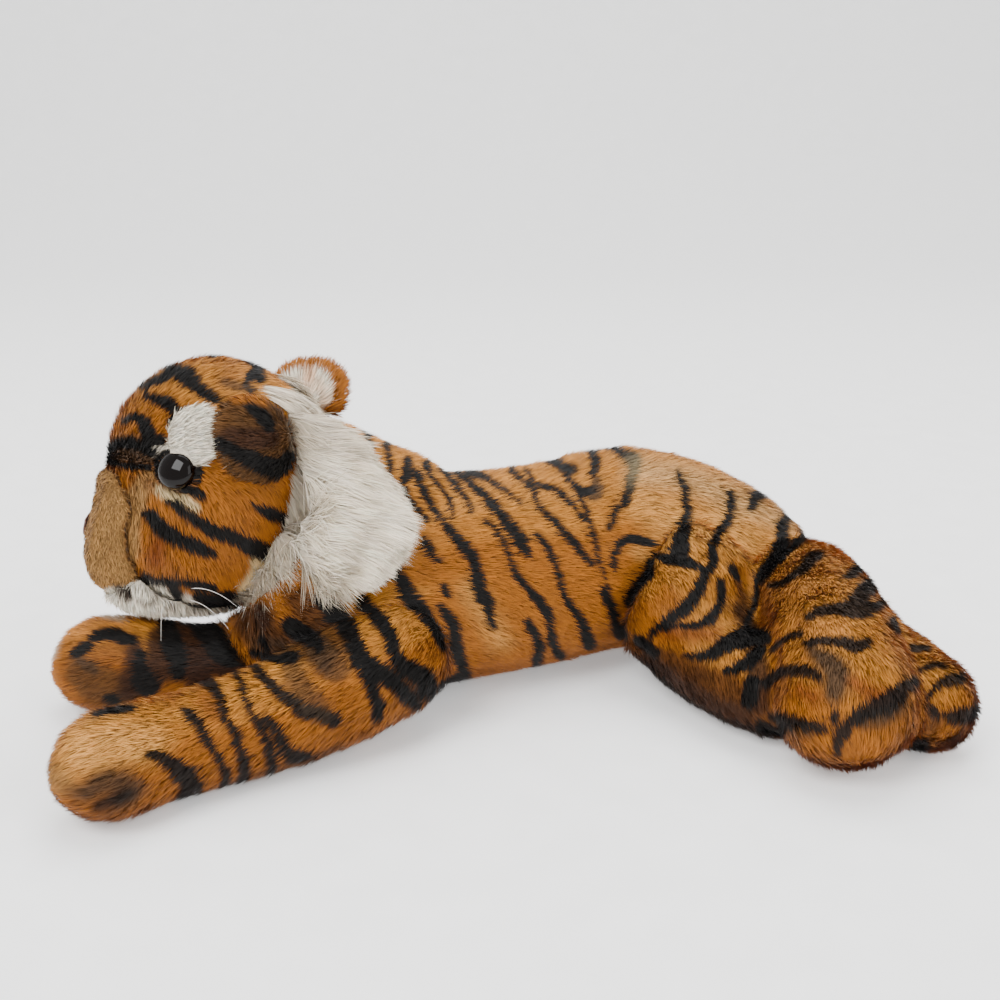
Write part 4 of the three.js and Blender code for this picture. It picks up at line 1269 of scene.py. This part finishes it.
def dress_ruffs():
    for side in ("left", "right"):
        skin = cloth_skin("ruff_" + side + "_cloth", ["ruff_" + side], 2, 2.6, rounds=6)
        roots, normals = roots_on(skin, ruffHairs)
        starts, leads = ruff_line(ruffRoots, side), ruff_line(ruffLeads, side)
        way = in_head(roots)[:, None] - starts
        reach = np.linalg.norm(leads, axis=1)
        along = (way * leads).sum(2) / reach ** 2
        pick = np.linalg.norm(way - along[..., None] * leads, axis=2).argmin(1)
        share, lead = along[np.arange(len(roots)), pick], leads[pick]
        ways = unit(lead[:, :1] * headAhead + lead[:, 1:2] * headLeft + lead[:, 2:] * headUp)
        ragged = 1 + 0.3 * drift(roots, 0.006)[:, 0]
        left = np.clip((ruffReach - share) * reach[pick] / MM * ragged, ruffShortest, ruffLongest)
        left *= rng.uniform(0.7, 1.05, len(roots))
        keep = share < ruffRooted
        pile = strands("ruff_" + side + "_pile", roots[keep], normals[keep], ways[keep], ruff_paint, left[keep],
                       hairWidth, ruffLift, sag=0.1, spread=6, swirl=20, clump=0.7, clumpSize=40,
                       sections=3, droop=0.07, **longHair)
        # painted shade: the cloth under the long hair darkened to 0.7 of the hair's colour
        colour_corners(skin.data, ruff_paint(places_of(skin.data), None) * 0.7)
        dress(skin, clothFinish, "head")
        dress(pile, longPileFinish, "head")


# Long hair that grows beside the ruffs' own cloth: where on the head, as a line in the
# photograph, the way that it leads, ahead, left and up, its length in millimetres and its lift
tufts = {
    "cheek": ("295 464 4, 295 486 5, 292 508 6, 285 530 6", (-26, 16, -10), 26, 34),
    "jaw": ("279 538 6, 269 556 7, 257 576 7, 245 592 7, 230 604 6", (-28, 20, -12), 33, 26),
    "crown": ("259 389 3, 270 393 4, 283 400 6, 295 412 7", (-30, 4, -5), 22, 22),
}
tuftTries, quickTuftTries = 200000, 60000


def add_tufts(skin):
    """The same tufts on both sides of the head."""
    for side, mirror in (("left", 1), ("right", -1)):
        for name, (line, lead, length, lift) in tufts.items():
            roots, normals = roots_on(skin, tuftTries)
            ahead, left, up = in_head(roots).T
            shown = (skullPlace + ahead[:, None] * headAhead + mirror * left[:, None] * headLeft
                     + up[:, None] * headUp)
            keep = (covered(photo_place(shown), line_of(line), 4) > 0.4) & (left * mirror > 0)
            way = unit(headAhead * lead[0] + headLeft * lead[1] * mirror + headUp * lead[2])
            tuft = strands("_".join([name, "tuft", side]), roots[keep], normals[keep],
                           np.repeat(way[None], keep.sum(), 0), ruff_paint, length, hairWidth, lift,
                           spread=9, swirl=18, clump=0.5, sections=4, droop=0.1, **longHair)
            dress(tuft, longPileFinish, "head")


# Floor and light

# The paper: how far it reaches to the front and the sides, where it starts to bend up, and the
# radius, top and steps of that bend, in metres
paperReach, paperBend, paperRadius, paperTop, bendSteps = 30.0, 1.6, 1.2, 4.0, 24
lights = {
    # name: place and size in metres, watts
    "key": ((-0.9, -1.2, 1.7), 1.1, 44),
    "fill": ((1.3, -1.0, 0.9), 1.4, 16),
    "top": ((0.1, 0.5, 1.9), 1.6, 36),
}
lightAim = Vector((0, 0, 0.06))
surroundStrength = 0.9


def add_studio():
    profile = [(-paperReach, 0.0), (paperBend, 0.0)]
    for step in range(1, bendSteps + 1):
        angle = math.pi / 2 * step / bendSteps
        profile.append((paperBend + paperRadius * math.sin(angle),
                        paperRadius - paperRadius * math.cos(angle)))
    profile.append((paperBend + paperRadius, paperTop))
    corners = [(x, y, z) for y, z in profile for x in (-paperReach, paperReach)]
    faces = [(2 * step, 2 * step + 1, 2 * step + 3, 2 * step + 2) for step in range(len(profile) - 1)]
    floor = link_mesh("studio_floor", corners, faces)
    floor.data.materials.append(paperFinish)
    for name, (place, size, watts) in lights.items():
        data = bpy.data.lights.new(name, "AREA")
        data.size, data.energy = size, watts
        light = link(name, data)
        light.location = place
        light.rotation_euler = (lightAim - Vector(place)).to_track_quat("-Z", "Y").to_euler()
    world = bpy.data.worlds.new("soft_white_surround")
    world.use_nodes = True
    background = world.node_tree.nodes["Background"].inputs
    background["Color"].default_value = (1, 1, 1, 1)
    background["Strength"].default_value = surroundStrength
    bpy.context.scene.world = world


dress_stuffed()
headSkin = dress_head()
add_eyes()
add_whiskers()
add_nose_and_washers()
dress_ears()
dress_ruffs()
add_tufts(headSkin)
add_studio()
